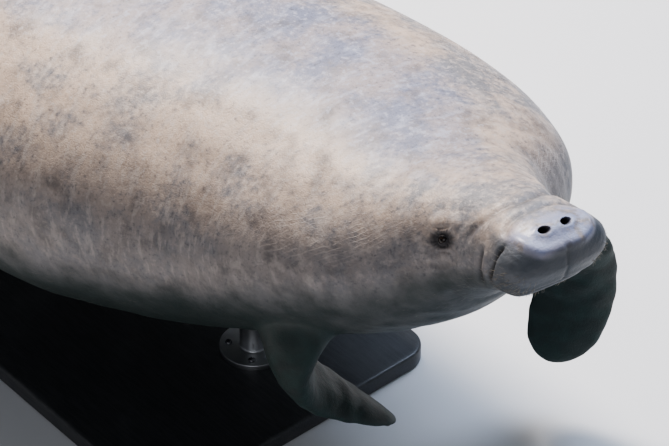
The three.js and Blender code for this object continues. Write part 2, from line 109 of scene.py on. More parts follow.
# Ridges and furrows, the same on both sides: height, negative for a furrow, width, and the places
# that each runs through, as station and elevation in degrees from -90 under the body through 0 at
# its side to 90 on its back. Each fades out at its ends, except where it runs over the midline.
FOLDS = {
    "upper lip's rim": (0.0045, 0.010, [(0.006, 90), (0.009, 60), (0.018, 50), (0.042, 50), (0.070, 45)]),
    "nostrils' hollow": (-0.002, 0.012, [(0.018, 90), (0.020, 74), (0.030, 62)]),
    "upper lip's cleft": (-0.0026, 0.005, [(0.006, 90), (0.001, 90), (0.001, -90), (0.006, -90)]),
    "lip crease": (-0.0085, 0.0042, [(0.056, 40), (0.064, 24), (0.073, 6), (0.092, -11), (0.116, -28)]),
    "lip pad's edge": (0.0035, 0.010, [(0.050, 26), (0.056, 8), (0.072, -12), (0.090, -24)]),
    "cheek fold": (-0.006, 0.006, [(0.106, 22), (0.114, 8), (0.126, -8), (0.140, -26), (0.152, -40)]),
    "cheek": (0.004, 0.009, [(0.092, 14), (0.102, 0), (0.118, -16)]),
    "bridge furrow": (-0.005, 0.008, [(0.112, 90), (0.120, 68), (0.130, 46), (0.146, 28), (0.158, 8)]),
    "nostrils' furrow": (-0.0045, 0.007, [(0.084, 90), (0.084, 64), (0.076, 48), (0.064, 40)]),
    "brow": (0.005, 0.014, [(0.165, 30), (0.196, 34), (0.240, 27)]),
    "eye pouch": (-0.0035, 0.007, [(0.176, 4), (0.190, -4), (0.216, -9), (0.256, -2)]),
    "second eye pouch": (-0.0022, 0.006, [(0.182, -12), (0.212, -18), (0.262, -12)]),
    "throat fold": (-0.004, 0.010, [(0.205, -90), (0.200, -64), (0.180, -44)]),
    "second throat fold": (-0.005, 0.013, [(0.275, -90), (0.268, -60), (0.244, -34)]),
    "neck fold": (-0.0045, 0.022, [(0.352, 90), (0.356, 30), (0.350, -20), (0.345, -90)]),
    "second neck fold": (-0.0050, 0.026, [(0.440, 70), (0.446, 20), (0.440, -25), (0.425, -90)]),
}

# Soft swellings, the same on both sides: height, radius and place.
SWELLINGS = {
    "side of the upper lip pad": (0.007, 0.040, (0.034, 4)),
    "lower lip pad": (0.005, 0.030, (0.048, -62)),
    "cheek": (0.006, 0.050, (0.170, -34)),
    "temple": (0.006, 0.060, (0.262, 44)),
    "socket of the eye": (-0.004, 0.015, EYE_PLACE),
}

# Folds of the lids: height, width, place down from the eye's middle, and how far they bow.
LID_FOLDS = [
    (0.0022, 0.0034, -0.0150, -12),
    (-0.0020, 0.0030, -0.0205, -10),
    (0.0018, 0.0030, 0.0150, 8),
    (-0.0016, 0.0028, 0.0200, 8),
]

FOLD_FADE = 0.22  # share of a fold's length over which each end fades
RELIEF_END = 0.6  # the station behind which the body has none of these forms

# Height of the closed mouth over the spine, by station.
MOUTH_LINE = [(-0.060, -0.042), (0.033, -0.045), (0.080, -0.049), (0.126, -0.042)]

# Forms along the closed mouth: height, place above it, and width.
MOUTH_PROFILE = [(-0.011, 0, 0.0040), (0.0030, 0.009, 0.006), (0.0020, -0.010, 0.006)]
MOUTH_SHADE = 0.0045  # half width of the painted shade along the closed mouth
LIP_DROOP = 0.006

# Random waves of the skin: height, how many are summed, their length, and the seed of their draws.
BROAD_DIMPLES = (0.0024, 12, 0.30, 3)
SMALL_DIMPLES = (0.0009, 14, 0.09, 4)
CROSS_WRINKLES = (-0.0012, 14, 0.030, 5)
CHEEK_WRINKLES = (-0.0009, 14, 0.013, 6)
LIP_PEBBLES = (0.00045, 18, 0.0095, 7)

# The shoulder's distance from the midline, station and height over the spine.
SHOULDER = (0.225, 0.590, -0.140)

# A flipper from root to tip: share of its length, place outward, forward and up from the shoulder,
# width, thickness, and the direction of its leading edge outward, forward and up.
FLIPPERS = {
    -1: [
        (0.00, -0.070, 0.000, 0.060, 0.190, 0.130, 0.10, 1.00, 0.00),
        (0.25, 0.025, 0.000, -0.020, 0.190, 0.100, 0.20, 1.00, -0.10),
        (0.50, 0.025, 0.005, -0.115, 0.180, 0.064, 0.37, 0.87, -0.20),
        (0.75, -0.050, 0.025, -0.210, 0.156, 0.042, 0.45, 0.85, 0.00),
        (1.00, -0.178, 0.066, -0.326, 0.120, 0.022, 0.50, 0.75, 0.35),
    ],
    1: [
        (0.00, -0.070, 0.000, 0.060, 0.186, 0.130, 0.10, 1.00, 0.00),
        (0.25, 0.075, 0.025, -0.010, 0.184, 0.100, 0.40, 0.90, 0.10),
        (0.50, 0.150, 0.035, -0.115, 0.168, 0.064, 0.66, 0.75, 0.10),
        (0.75, 0.164, 0.030, -0.250, 0.158, 0.042, 0.66, 0.75, 0.10),
        (1.00, 0.130, 0.005, -0.392, 0.140, 0.022, 0.66, 0.75, 0.00),
    ],
}
TIP_START = 0.8  # share of a flipper's length where its rounded tip begins
NAILS = (44, 68, 92, 116)  # their places round a flipper's tip, in degrees from its leading edge
NAIL_PLACE = 0.955  # share of the flipper's length
NAIL_SIZE = (0.008, 0.012, 0.004)  # half width, half length, half thickness

CORNEA_BULGE = 0.0006

# Where bristles grow: density, radius and place of each patch, and the least density that counts.
BRISTLE_PATCHES = [(1, 0.036, (0.028, -20)), (0.55, 0.030, (0.075, -22)), (0.5, 0.034, (0.030, -75))]
BRISTLE_EDGE = 0.25

# Both kinds of hair: colours of root and tip, and then their sizes.
HAIR_SIZES = ("Hairs per square metre", "Shortest", "Longest", "Thickness", "Lean", "Bend", "Sides", "Seed")
HAIRS = {
    "bristles": ((0.10, 0.085, 0.065), (0.42, 0.36, 0.28), 30000, 0.004, 0.012, 0.0009, 0.6, 0.25, 5, 2),
    "hairs": ((0.20, 0.18, 0.16), (0.50, 0.46, 0.40), 3400, 0.008, 0.020, 0.00036, 1.6, 0.3, 3, 5),
}
HAIR_STRAY = 0.3  # how far hairs lean astray
HAIR_SUNK = 0.1  # share of a hair's length that is sunk in the skin
HAIR_PATCH = 0.003  # size of a hair's patch on the unwrapped skin

# The stand.
BASE_CORNER = 0.060
BASE_BEVEL = 0.006
BASE_RINGS = (0.014, 0.03)  # how far two rings on its flat faces lie inside its outline
RODS = ("front", "back")
ROD_RADIUS = 0.030
FOOT_RADIUS = 0.072
FOOT_THICKNESS = 0.012
FOOT_EDGE = 0.002
FOOT_FILLET = 0.005
SCREW_RING = 0.053  # radius of the ring of screws through a foot

# A screw's head: radius, height, and whether the ring is in its six-sided socket.
SCREW_PROFILE = [
    (0.0075, 0.0, False),
    (0.0075, 0.0010, False),
    (0.0070, 0.0024, False),
    (0.0058, 0.0035, False),
    (0.0046, 0.0040, False),
    (0.0034, 0.0040, True),
    (0.0033, 0.0014, True),
]
SOCKET_BOTTOM = 0.0010

# Colours.
HIDE_GREY = (0.205, 0.198, 0.204)
# Painted sunlight: warm tan patches on the back.
SUNLIT_TAN = (0.500, 0.385, 0.305)
# Pale scars and flecks, also used for painted highlights on the back and on the neck's crossing ridges.
PALE_SCARS_AND_HIGHLIGHTS = (0.500, 0.440, 0.400)
HIDE_DARK = (0.060, 0.057, 0.064)
# Painted shade: dark slate on the underside and, together with the teal below, on the flippers.
UNDERSIDE_SHADE = (0.015, 0.029, 0.027)
# Painted shade, dark teal, on the flippers.
FLIPPER_SHADE_TEAL = (0.016, 0.039, 0.036)
# Painted reflection of the sky, lavender, on the wet top of the snout.
SKY_SHEEN_LAVENDER = (0.265, 0.295, 0.430)
# Painted reflection of the sky, blue-grey, along the top of the back.
CREST_SKY_SHEEN = (0.175, 0.188, 0.262)
# Painted sheen of the sky, which the pale streaks and flecks take on along the crest.
HIDE_SHEEN = (0.400, 0.415, 0.500)
# Painted shade on the snout's sides and front.
SNOUT_SHADE_GREY = (0.082, 0.095, 0.110)
# Painted shade in furrows, hollows and nostrils.
FOLD_SHADE = (0.022, 0.020, 0.022)
PUPIL_BLACK = (0.002, 0.002, 0.002)
IRIS_DARK = (0.010, 0.006, 0.004)
IRIS_BROWN = (0.030, 0.018, 0.011)
EYE_WHITE = (0.016, 0.013, 0.012)
NAIL_ROOT = (0.075, 0.068, 0.060)
NAIL_EDGE = (0.30, 0.27, 0.22)
NAIL_RIDGE = (0.12, 0.11, 0.09)
LACQUER_DARK = (0.028, 0.030, 0.033)
LACQUER_GREY = (0.044, 0.046, 0.050)
LACQUER_PORE = (0.016, 0.017, 0.019)
LACQUER_WORN = (0.10, 0.10, 0.098)
LACQUER_DUST = (0.075, 0.077, 0.080)
STEEL_GREY = (0.46, 0.47, 0.48)
STEEL_BRIGHT = (0.62, 0.63, 0.64)
STEEL_SMEAR = (0.36, 0.37, 0.385)
SCREW_BLACK = (0.09, 0.092, 0.10)
SCREW_BRIGHT = (0.34, 0.345, 0.36)
FLOOR_GREY = (0.70, 0.71, 0.72)
FLOOR_PALE = (0.75, 0.755, 0.76)

# How finely the shapes are divided. Each span of the trunk has its rings a step apart.
COLUMNS = 216
FACE_RINGS = 30
RING_STEPS = [(FACE_DEPTH, 0.30, 0.0028), (0.30, 0.56, 0.0062), (0.56, BODY_LENGTH - PADDLE_END, 0.0165)]
PADDLE_RINGS = 26
FINE_REACH = (0.030, 0.019)  # how far round eyes and nostrils the faces are divided once, and again
FLIPPER_COLUMNS = 64
FLIPPER_RINGS = 62
TIP_RINGS = 14
EYE_SIDES = 40
EYE_RINGS = 28
NAIL_SIDES = 22
NAIL_RINGS = 15
ROD_SIDES = 72
CORNER_STEPS = 16
SCREW_SIDES = 24

FLOOR_REACH = 40

# The light all round, and the lamps: place, aim, size, watts and colour.
STUDIO_COLOUR = (0.85, 0.89, 1.0)
STUDIO_STRENGTH = 0.16
LAMPS = {
    "key": ((1.0, 2.3, 4.7), (0, -0.4, 0.6), 1.6, 500, (1.0, 0.91, 0.83)),
    "sky": ((2.6, -0.3, 4.3), (0, -0.8, 0.7), 2.6, 190, (0.68, 0.79, 1.0)),
    "fill": ((-3.5, -3.5, 3.2), (0, -0.6, 0.5), 3.0, 40, (0.95, 0.96, 1.0)),
}

# The camera, at the photograph's viewing angle.
CAMERA_TARGET = Vector((-0.1991, -0.9063, 0.8514))
CAMERA_AZIMUTH = -41.0
CAMERA_ELEVATION = 38.5
CAMERA_DISTANCE = 4.66
CAMERA_FIELD = 14.0


# Curves and the pose


def natural_spline(xs, ys):
    """A smooth function through the points."""
    xs, ys = np.asarray(xs, float), np.asarray(ys, float)
    gap, count = np.diff(xs), len(xs)
    matrix, right = np.eye(count), np.zeros(count)
    for i in range(1, count - 1):
        matrix[i, i - 1 : i + 2] = gap[i - 1], 2 * (gap[i - 1] + gap[i]), gap[i]
        right[i] = 6 * ((ys[i + 1] - ys[i]) / gap[i] - (ys[i] - ys[i - 1]) / gap[i - 1])
    bend = np.linalg.solve(matrix, right)

    def value(x):
        k = np.clip(np.searchsorted(xs, x) - 1, 0, count - 2)
        a, b = (xs[k + 1] - x) / gap[k], (x - xs[k]) / gap[k]
        curve = (a**3 - a) * bend[k] + (b**3 - b) * bend[k + 1]
        return a * ys[k] + b * ys[k + 1] + curve * gap[k] ** 2 / 6

    return value


def column_splines(table):
    columns = np.array(table, float).T
    return [natural_spline(columns[0], column) for column in columns[1:]]


half_width, rise, drop, squareness = column_splines(SECTIONS)
pitch, yaw = column_splines(BENDS)
(mouth_height,) = column_splines(MOUTH_LINE)


def smooth(x, start, end):
    """A smooth rise from 0 to 1 as x goes from start to end."""
    t = np.clip((x - start) / (end - start), 0, 1)
    return t * t * (3 - 2 * t)


def between(x, start, full, fading, end):
    """A smooth rise from 0 to 1, and a smooth fall back to 0."""
    return smooth(x, start, full) * (1 - smooth(x, fading, end))


def hump(distance, width):
    return np.exp(-((distance / width) ** 2))


def power(value, exponent):
    return np.sign(value) * np.abs(value) ** exponent


def unit(v):
    return v / np.maximum(np.linalg.norm(v, axis=-1, keepdims=True), 1e-12)


def spine_direction(s):
    p, y = np.radians(pitch(s)), np.radians(yaw(s))
    return np.stack([np.sin(y) * np.cos(p), np.cos(y) * np.cos(p), -np.sin(p)], -1)


SPINE_STEP = 0.005
spine_steps = spine_direction(np.arange(0, BODY_LENGTH + 0.1, SPINE_STEP) + SPINE_STEP / 2) * SPINE_STEP
spine_points = np.vstack([np.zeros(3), np.cumsum(spine_steps, 0)])
spine_points += np.array([0, 0, TRUNK_HEIGHT]) - spine_points[round(TRUNK_STATION / SPINE_STEP)]


def posed(points):
    """Carries points of the straight animal (left, station, up) to their places in the pose."""
    x, s, z = points[..., 0], points[..., 1], points[..., 2]
    k = np.clip(s / SPINE_STEP, 0, len(spine_points) - 2)
    i = k.astype(int)
    share = (k - i)[..., None]
    inside = np.maximum(s, 0)
    back = spine_direction(inside)
    on = spine_points[i] * (1 - share) + spine_points[i + 1] * share + back * np.minimum(s, 0)[..., None]
    turn = np.radians(yaw(inside))
    left = np.stack([np.cos(turn), -np.sin(turn), 0 * turn], -1)
    return on + left * x[..., None] + np.cross(left, back) * z[..., None]


# The body's surface


def body_points(s, angle):
    """Points of the plain, straight body at stations and angles round it from its left side."""
    s = np.asarray(s, float)
    near = np.clip(s, 0, FACE_DEPTH) / FACE_DEPTH
    front = (1 - (1 - near) ** FACE_FLATNESS) ** (1 / FACE_FLATNESS)
    into = np.clip((s - (BODY_LENGTH - PADDLE_END)) / PADDLE_END, 0, 1)
    back = np.sqrt(1 - into**2.2)
    e = 2 / squareness(s)
    up = np.sin(angle)
    x = half_width(s) * front * back * power(np.cos(angle), e)
    z = np.where(up > 0, rise(s), drop(s)) * front * np.sqrt(back) * power(up, e)
    setback = CHIN_SETBACK * (np.maximum(0, -z) / 0.075) ** 1.5 * (1 - smooth(s, 0, CHIN_REACH))
    return np.stack([x, s + setback, z], -1)


def out_of_body(s, angle):
    """The direction out of the plain body. Behind the face it lies in the section."""
    step = 0.0005
    along = body_points(s + step, angle) - body_points(np.maximum(0, s - step), angle)
    around = body_points(s, angle + 0.01) - body_points(s, angle - 0.01)
    out = unit(-np.cross(around, along))
    out[..., 1] *= 1 - smooth(s, 0.15, 0.26)
    return unit(out)


def place(s, elevation):
    return body_points(np.array(s, float), np.radians(elevation))


def course(through):
    """A smooth line through places on the left side of the body."""
    knots = np.array([place(*p) for p in through])
    t = np.concatenate([[0], np.cumsum(np.linalg.norm(np.diff(knots, axis=0), axis=1))])
    fine = np.linspace(0, t[-1], 6 * len(knots))
    return np.stack([natural_spline(t, knots[:, i])(fine) for i in range(3)], -1)


def fold(points, through, width):
    """A ridge of height 1 along a course, fading out at its ends."""
    line = course(through)
    a, b = line[:-1], line[1:]
    ab = b - a
    t = np.einsum("nsk,sk->ns", points[:, None] - a, ab) / np.maximum((ab**2).sum(1), 1e-12)
    t = np.clip(t, 0, 1)
    distance = np.linalg.norm(points[:, None] - (a + t[..., None] * ab), axis=2)
    nearest = distance.argmin(1)
    row = np.arange(len(points))
    along = (nearest + t[row, nearest]) / len(ab)
    fade = np.ones(len(points))
    if abs(through[0][1]) < 90:
        fade *= smooth(along, 0, FOLD_FADE)
    if abs(through[-1][1]) < 90:
        fade *= 1 - smooth(along, 1 - FOLD_FADE, 1)
    return hump(distance[row, nearest], width) * fade


def mirrored(points):
    return np.column_stack([np.abs(points[:, 0]), points[:, 1:]])


def spot(side, at, radius):
    """A soft round spot of height 1 on the left side of the body."""
    return hump(np.linalg.norm(side - place(*at), axis=1), radius)


def relief(points):
    """How far the skin stands out from the plain body, and how much painted shade it gets in a furrow and
    along the closed mouth.
    """
    height, furrow = np.zeros(len(points)), np.zeros(len(points))
    near = points[:, 1] < RELIEF_END
    side = mirrored(points[near])
    h, f = np.zeros(len(side)), np.zeros(len(side))
    for most, width, through in FOLDS.values():
        ridge = fold(side, through, width)
        h += most * ridge
        # Each furrow gets painted shade, the more the deeper and narrower it is.
        if most < 0:
            f = np.maximum(f, ridge * min(1, -0.6 * most / width))
    for most, radius, at in SWELLINGS.values():
        h += most * spot(side, at, radius)
    from_mouth = side[:, 2] - mouth_height(np.minimum(side[:, 1], JAW_LENGTH)) + LIP_DROOP * lip_sag(side)
    mouth = 1 - smooth(side[:, 1], JAW_LENGTH - 0.03, JAW_LENGTH + 0.004)
    for most, above, width in MOUTH_PROFILE:
        h += most * hump(from_mouth - above, width) * mouth
    # Painted shade along the closed mouth.
    f = np.maximum(f, hump(from_mouth, MOUTH_SHADE) * mouth)
    height[near], furrow[near] = h, f
    return height, furrow


def lip_sag(points):
    """How far the upper lip's edge hangs: less in the middle, more at its sides, not at its corners."""
    return ((points[:, 0] / 0.08) ** 2 - 0.5) * (1 - smooth(points[:, 1], 0.045, 0.10))


def seat(at, side):
    """A spot on the skin: its middle and its axes down the body, forward, and out of the skin."""
    s, angle = at[0], np.radians(at[1] if side > 0 else 180 - at[1])
    offsets = np.array([[0, 0], [-0.004, 0], [0.004, 0], [0, -0.04], [0, 0.04]])
    ss, aa = s + offsets[:, 0], angle + offsets[:, 1]
    plain = body_points(ss, aa)
    skin = plain + out_of_body(ss, aa) * relief(plain)[0][:, None]
    forward = unit(skin[1] - skin[2])
    out = unit(np.cross(skin[4] - skin[3], forward))
    down = unit(np.cross(out, forward)) * side
    return skin[0], down, forward, out


# The eyes' lids and the nostrils


def lids(points, side):
    """Moves skin at an eye: lids drawn over the ball, the opening, and wrinkles round them, and gives
    painted shade in the opening, the hollow round it and the wrinkles.
    """
    middle, down, forward, out = seat(EYE_PLACE, side)
    from_ball = points - (middle - out * EYE_SINK)
    u, v, height = from_ball @ down, from_ball @ forward, from_ball @ out
    across = np.hypot(u, v)
    close = 1 - smooth(np.hypot(across, height - EYE_SINK), *LID_REACH)
    slit = u + 0.0012 + 0.10 * v
    opening = np.hypot(slit / np.where(slit > 0, EYE_OPENING[0], 0.8 * EYE_OPENING[0]), v / EYE_OPENING[1])
    turn = np.arctan2(v, u)
    reach = np.hypot(u / SOCKET_SIZE[0], v / SOCKET_SIZE[1])
    new = height + np.zeros_like(u)
    for most, width, at, bow in LID_FOLDS:
        new += most * hump(u - at - bow * v * v, width) * hump(v, 0.016)
    rays = np.cos(17 * turn + 2.2 * np.sin(2 * turn + 1) + 1.1 * np.sin(5 * turn))
    new += 0.0005 * rays * hump(reach - 1.35, 0.55)
    over_ball = np.sqrt(np.maximum((EYE_RADIUS + LID_THICKNESS) ** 2 - across**2, 0))
    lid = soft_greater(new, over_ball, 0.0012)
    in_opening = 1 - smooth(opening, 0.90, 1.06)
    under = np.sqrt(np.maximum(EYE_RADIUS**2 - across**2, 0)) - LID_DEPTH
    new = lid * (1 - in_opening) + np.minimum(lid, under) * in_opening
    # Painted shade in the hollow round the eye, in its opening and in the troughs of its wrinkles.
    hollow = 0.82 * hump((u / SOCKET_SHADE[0]) ** 2 + (v / SOCKET_SHADE[1]) ** 2, 2.1)
    furrow = np.maximum(1 - smooth(opening, 1.05, 1.6), hollow)
    furrow = np.maximum(furrow, 0.2 * smooth(-rays, 0, 0.8) * hump(reach - 1.35, 0.5))
    return ((new - height) * close)[:, None] * out, furrow * close


def soft_greater(a, b, blend):
    """The greater of two heights, with a rounded change between them."""
    return 0.5 * (a + b + np.sqrt((a - b) ** 2 + blend**2))


def nostrils(points, side):
    """Moves skin at a nostril: a slanting hole and its soft rim, with painted shade in the hole."""
    middle, down, forward, out = seat(NOSTRIL_PLACE, side)
    offset = points - middle
    u, v = offset @ down, offset @ forward
    v = v + 0.16 * u
    r = np.hypot(u / NOSTRIL_OPENING[0], v / NOSTRIL_OPENING[1])
    close = np.linalg.norm(offset, axis=1) < NOSTRIL_REACH
    hole = NOSTRIL_DEPTH * (1 - smooth(r, 0.45, 1.0))
    rim = NOSTRIL_RIM * hump(r - 1.40, 0.45) * (1 - 0.5 * np.sin(np.arctan2(v, u)))
    inward = unit(-0.85 * out - 0.5 * forward)
    move = hole[:, None] * inward + rim[:, None] * out
    # The second value is painted shade in the hole.
    return np.where(close[:, None], move, 0), np.where(close, hump(r * r, 1.05), 0)


def skin_points(s, angle):
    """Points of the finished skin in the straight animal, and the painted shade that each gets in furrows,
    at the eyes and in the nostrils.
    """
    plain = body_points(s, angle)
    height, furrow = relief(plain)
    fine, creased = wrinkles(plain)
    skin = plain + out_of_body(s, angle) * (height + fine)[:, None]
    furrow = np.maximum(furrow, creased)
    moved = np.zeros_like(skin)
    for side in (-1, 1):
        for form in (lids, nostrils):
            move, dark = form(skin, side)
            moved += move
            furrow = np.maximum(furrow, dark)
    return skin + moved, furrow


def waves(points, count, length, seed):
    """Soft random waves of about that length, mostly between -1 and 1."""
    draw = np.random.default_rng(seed)
    total = np.zeros(len(points))
    for _ in range(count):
        direction = unit(draw.normal(size=3)) * 2 * np.pi / (length * draw.uniform(0.7, 1.4))
        total += np.cos(points @ direction + draw.uniform(0, 2 * np.pi))
    return total / math.sqrt(count)


def creases(points, count, length, seed):
    """Thin furrows between rounded ridges: 0 on a ridge and 1 in a furrow."""
    return hump(waves(points, count, length, seed), 0.35)


def wrinkles(points):
    """Dimples of the trunk, wrinkles of neck, cheeks and tail stock, and the pebbled lip pads, with painted
    shade in the wrinkles.
    """
    s, z = points[:, 1], points[:, 2]
    height = BROAD_DIMPLES[0] * waves(points, *BROAD_DIMPLES[1:]) * between(s, 0.35, 0.8, 2.3, 2.6)
    height += SMALL_DIMPLES[0] * waves(points, *SMALL_DIMPLES[1:]) * between(s, 0.2, 0.5, 2.4, 2.7)
    across = creases(points * (0.2, 1, 0.2), *CROSS_WRINKLES[1:])
    across *= 0.9 * hump(s - 0.40, 0.17) + 0.6 * hump(s - 2.25, 0.22) + 0.35
    across *= (1 - 0.85 * smooth(z, 0.03, 0.14)) * smooth(s, 0.25, 0.4)
    cheek = creases(points * (0.5, 1, 0.5), *CHEEK_WRINKLES[1:])
    cheek *= between(s, 0.10, 0.14, 0.26, 0.36) * (1 - smooth(z, 0.02, 0.07))
    height += CROSS_WRINKLES[0] * across + CHEEK_WRINKLES[0] * cheek
    pebbles = waves(points, *LIP_PEBBLES[1:]) * spot(mirrored(points), (0.040, -8), 0.062)
    # The second value is painted shade in the wrinkles' furrows.
    return height + LIP_PEBBLES[0] * pebbles, np.clip(0.16 * across + 0.25 * cheek, 0, 1)


# Meshes


def mesh_object(name, points, faces):
    mesh = bpy.data.meshes.new(name)
    mesh.from_pydata(np.asarray(points, float).tolist(), [], [tuple(f) for f in faces])
    mesh.update()
    piece = bpy.data.objects.new(name, mesh)
    bpy.context.scene.collection.objects.link(piece)
    return piece


def face_outwards(piece):
    work = bmesh.new()
    work.from_mesh(piece.data)
    bmesh.ops.recalc_face_normals(work, faces=work.faces)
    work.to_mesh(piece.data)
    work.free()


def points_of(piece):
    flat = np.empty(3 * len(piece.data.vertices))
    piece.data.vertices.foreach_get("co", flat)
    return flat.reshape(-1, 3)


def set_points(piece, points):
    piece.data.vertices.foreach_set("co", np.asarray(points, float).ravel())
    piece.data.update()


def set_attribute(piece, name, values):
    """Keeps a number or a vector for each point, for materials and scattered hairs to read."""
    kind, field = ("FLOAT", "value") if values.ndim == 1 else ("FLOAT_VECTOR", "vector")
    kept = piece.data.attributes.new(name, kind, "POINT")
    kept.data.foreach_set(field, values.astype(np.float32).ravel())


def lofted(name, rings, start, end):
    """A closed skin over rings of equal count, with its ends closed at a point each."""
    rows, columns = rings.shape[:2]
    grid = np.arange(rows * columns).reshape(rows, columns)
    wrapped = np.hstack([grid, grid[:, :1]])
    corners = wrapped[:-1, :-1], wrapped[:-1, 1:], wrapped[1:, 1:], wrapped[1:, :-1]
    caps = [
        [grid.size + end_index, *pair]
        for end_index, row in enumerate((wrapped[0], wrapped[-1]))
        for pair in zip(row[:-1], row[1:])
    ]
    faces = np.stack(corners, -1).reshape(-1, 4).tolist() + caps
    piece = mesh_object(name, np.vstack([rings.reshape(-1, 3), start, end]), faces)
    face_outwards(piece)
    return piece


def turned(name, profile, sides):
    """A closed round body, upright on its axis, from a profile of radius and height."""
    turn = np.linspace(0, 2 * math.pi, sides, endpoint=False)
    radius, height = np.array(profile, float).T[:, :, None]
    rings = np.stack(np.broadcast_arrays(radius * np.cos(turn), radius * np.sin(turn), height), -1)
    return lofted(name, rings[1:-1], rings[0, 0], rings[-1, 0])


def quarter(radius, steps):
    """A quarter of a circle that hollows out a square corner, from the first axis to the second."""
    turn = np.linspace(0, math.pi / 2, steps)
    return [(radius * (1 - math.sin(a)), radius * (1 - math.cos(a))) for a in turn]


def finished(piece, material, slot, *nodes):
    """Finishes a piece: its finish, a slot name that is not used, and the solids that it stands for."""
    piece.data.materials.clear()
    piece.data.materials.append(material)
    piece.data.shade_smooth()
    if nodes:
        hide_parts(*nodes)
    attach(piece, "root")


# Nodes


class Value:
    """What a node gives out, for use in plain sums."""

    def __init__(self, nodes, socket):
        self.nodes, self.socket = nodes, socket

    def __add__(self, other):
        return self.nodes.maths("ADD", self, other)

    def __sub__(self, other):
        return self.nodes.maths("SUBTRACT", self, other)

    def __rsub__(self, other):
        return self.nodes.maths("SUBTRACT", other, self)

    def __mul__(self, other):
        return self.nodes.maths("MULTIPLY", self, other)

    def beside(self, name):
        """What else the same node gives out."""
        return Value(self.nodes, self.socket.node.outputs[name])

    __radd__ = __add__
    __rmul__ = __mul__


class Nodes:
    """A tree of nodes in the making."""

    def __init__(self, tree):
        self.tree = tree

    def node(self, kind, settings=None, sockets=None, output=0):
        """Adds a node of a kind: its settings first, then values or links for its sockets."""
        node = self.tree.nodes.new(kind)
        for name, value in (settings or {}).items():
            setattr(node, name, value)
        for key, value in (sockets or {}).items():
            self.feed(node.inputs[key], value)
        return Value(self, node.outputs[output])

    def maths(self, operation, a, b):
        return self.node("ShaderNodeMath", {"operation": operation}, {0: a, 1: b})

    def feed(self, socket, value):
        if isinstance(value, Value):
            self.tree.links.new(value.socket, socket)
        elif socket.type == "RGBA":
            socket.default_value = (*value, 1)
        else:
            socket.default_value = value


class Finish(Nodes):
    """A material in the making. What is the same all over is set on its shader at once."""

    def __init__(self, name, constants):
        self.material = bpy.data.materials.new(name)
        self.material.use_nodes = True
        super().__init__(self.material.node_tree)
        self.shader = self.tree.nodes["Principled BSDF"]
        self.wear(constants)
        self.place = self.node("ShaderNodeTexCoord", output="Object")

    def wear(self, sockets):
        """Feeds the shader."""
        for name, value in sockets.items():
            self.feed(self.shader.inputs[name], value)

    def known(self, attribute):
        """A number kept for each point of the piece."""
        return self.node("ShaderNodeAttribute", {"attribute_name": attribute}, output="Fac")

    def stretched(self, scale, turn=(0, 0, 0), at=None):
        """Places on the piece, stretched along the axes and turned."""
        sockets = {"Vector": at or self.place, "Scale": scale, "Rotation": turn}
        return self.node("ShaderNodeMapping", {}, sockets)

    def noise(self, scale, detail=3, roughness=0.6, at=None):
        """Soft random clouds, mostly between 0.3 and 0.7, with so many to the metre."""
        sockets = {"Vector": at or self.place, "Scale": scale, "Detail": detail, "Roughness": roughness}
        return self.node("ShaderNodeTexNoise", {}, sockets)

    def cells(self, scale, at=None):
        """How far a place lies inside its cell of a cracked pattern, with so many cells to the metre."""
        sockets = {"Vector": at or self.place, "Scale": scale}
        return self.node("ShaderNodeTexVoronoi", {"feature": "DISTANCE_TO_EDGE"}, sockets)

    def shifted(self, scale, reach):
        """Places on the piece, shifted about at random."""
        sockets = {"Vector": self.place, "Scale": scale, "Detail": 2}
        shift = self.node("ShaderNodeTexNoise", {}, sockets, "Color")
        sockets = {0: shift, 1: (reach, reach, reach), 2: self.place}
        return self.node("ShaderNodeVectorMath", {"operation": "MULTIPLY_ADD"}, sockets)

    def unwrapped(self, scale, turn=0.0):
        """Places on the unwrapped skin, round the body and along it, stretched and turned."""
        unwrap = self.node("ShaderNodeAttribute", {"attribute_name": "unwrap"}, output="Vector")
        return self.stretched(scale, (0, 0, turn), unwrap)

    def lines(self, turn):
        """Thin wandering lines on the unwrapped skin, about 15 mm apart."""
        sockets = {"Scale": 22, "Distortion": 5.5, "Detail": 3, "Detail Scale": 1.2}
        sockets["Vector"] = self.unwrapped((1.7, BODY_LENGTH, 1), turn)
        return self.step(self.node("ShaderNodeTexWave", {}, sockets, 1), 0.78, 0.97)

    def step(self, value, start, end):
        """A smooth rise from 0 to 1 as a value goes from start to end."""
        sockets = {"Value": value, "From Min": start, "From Max": end}
        return self.node("ShaderNodeMapRange", {"interpolation_type": "SMOOTHSTEP"}, sockets)

    def mix(self, share, colour, other):
        """A colour that turns into another as the share goes from 0 to 1."""
        return self.node("ShaderNodeMix", {"data_type": "RGBA"}, {0: share, 6: colour, 7: other}, 2)

    def layers(self, colour, *others):
        """A colour with others laid over it in turn, each by its share."""
        for share, other in others:
            colour = self.mix(share, colour, other)
        return colour

    def raise_by(self, height):
        """Gives the surface a fine relief, by its height in metres."""
        self.wear({"Normal": self.node("ShaderNodeBump", {}, {"Distance": 1.0, "Height": height})})


# The skin


def grid_faces(rows, columns):
    i, j = np.meshgrid(np.arange(rows - 1), np.arange(columns - 1), indexing="ij")
    a = (i * columns + j).ravel()
    return np.stack([a, a + 1, a + columns + 1, a + columns], -1).tolist()


def ring_stations():
    """Stations of the rings, close at the face and further apart along the trunk."""
    opened = np.sin(np.linspace(0.03, math.pi / 2, FACE_RINGS))
    face = FACE_DEPTH * (1 - (1 - opened**FACE_FLATNESS) ** (1 / FACE_FLATNESS))
    rest = [np.linspace(a, b, round((b - a) / step) + 1)[1:] for a, b, step in RING_STEPS]
    round_end = np.sin(np.linspace(0, math.pi / 2, PADDLE_RINGS)[1:-1])
    return np.concatenate([face, *rest, BODY_LENGTH - PADDLE_END * (1 - round_end)])


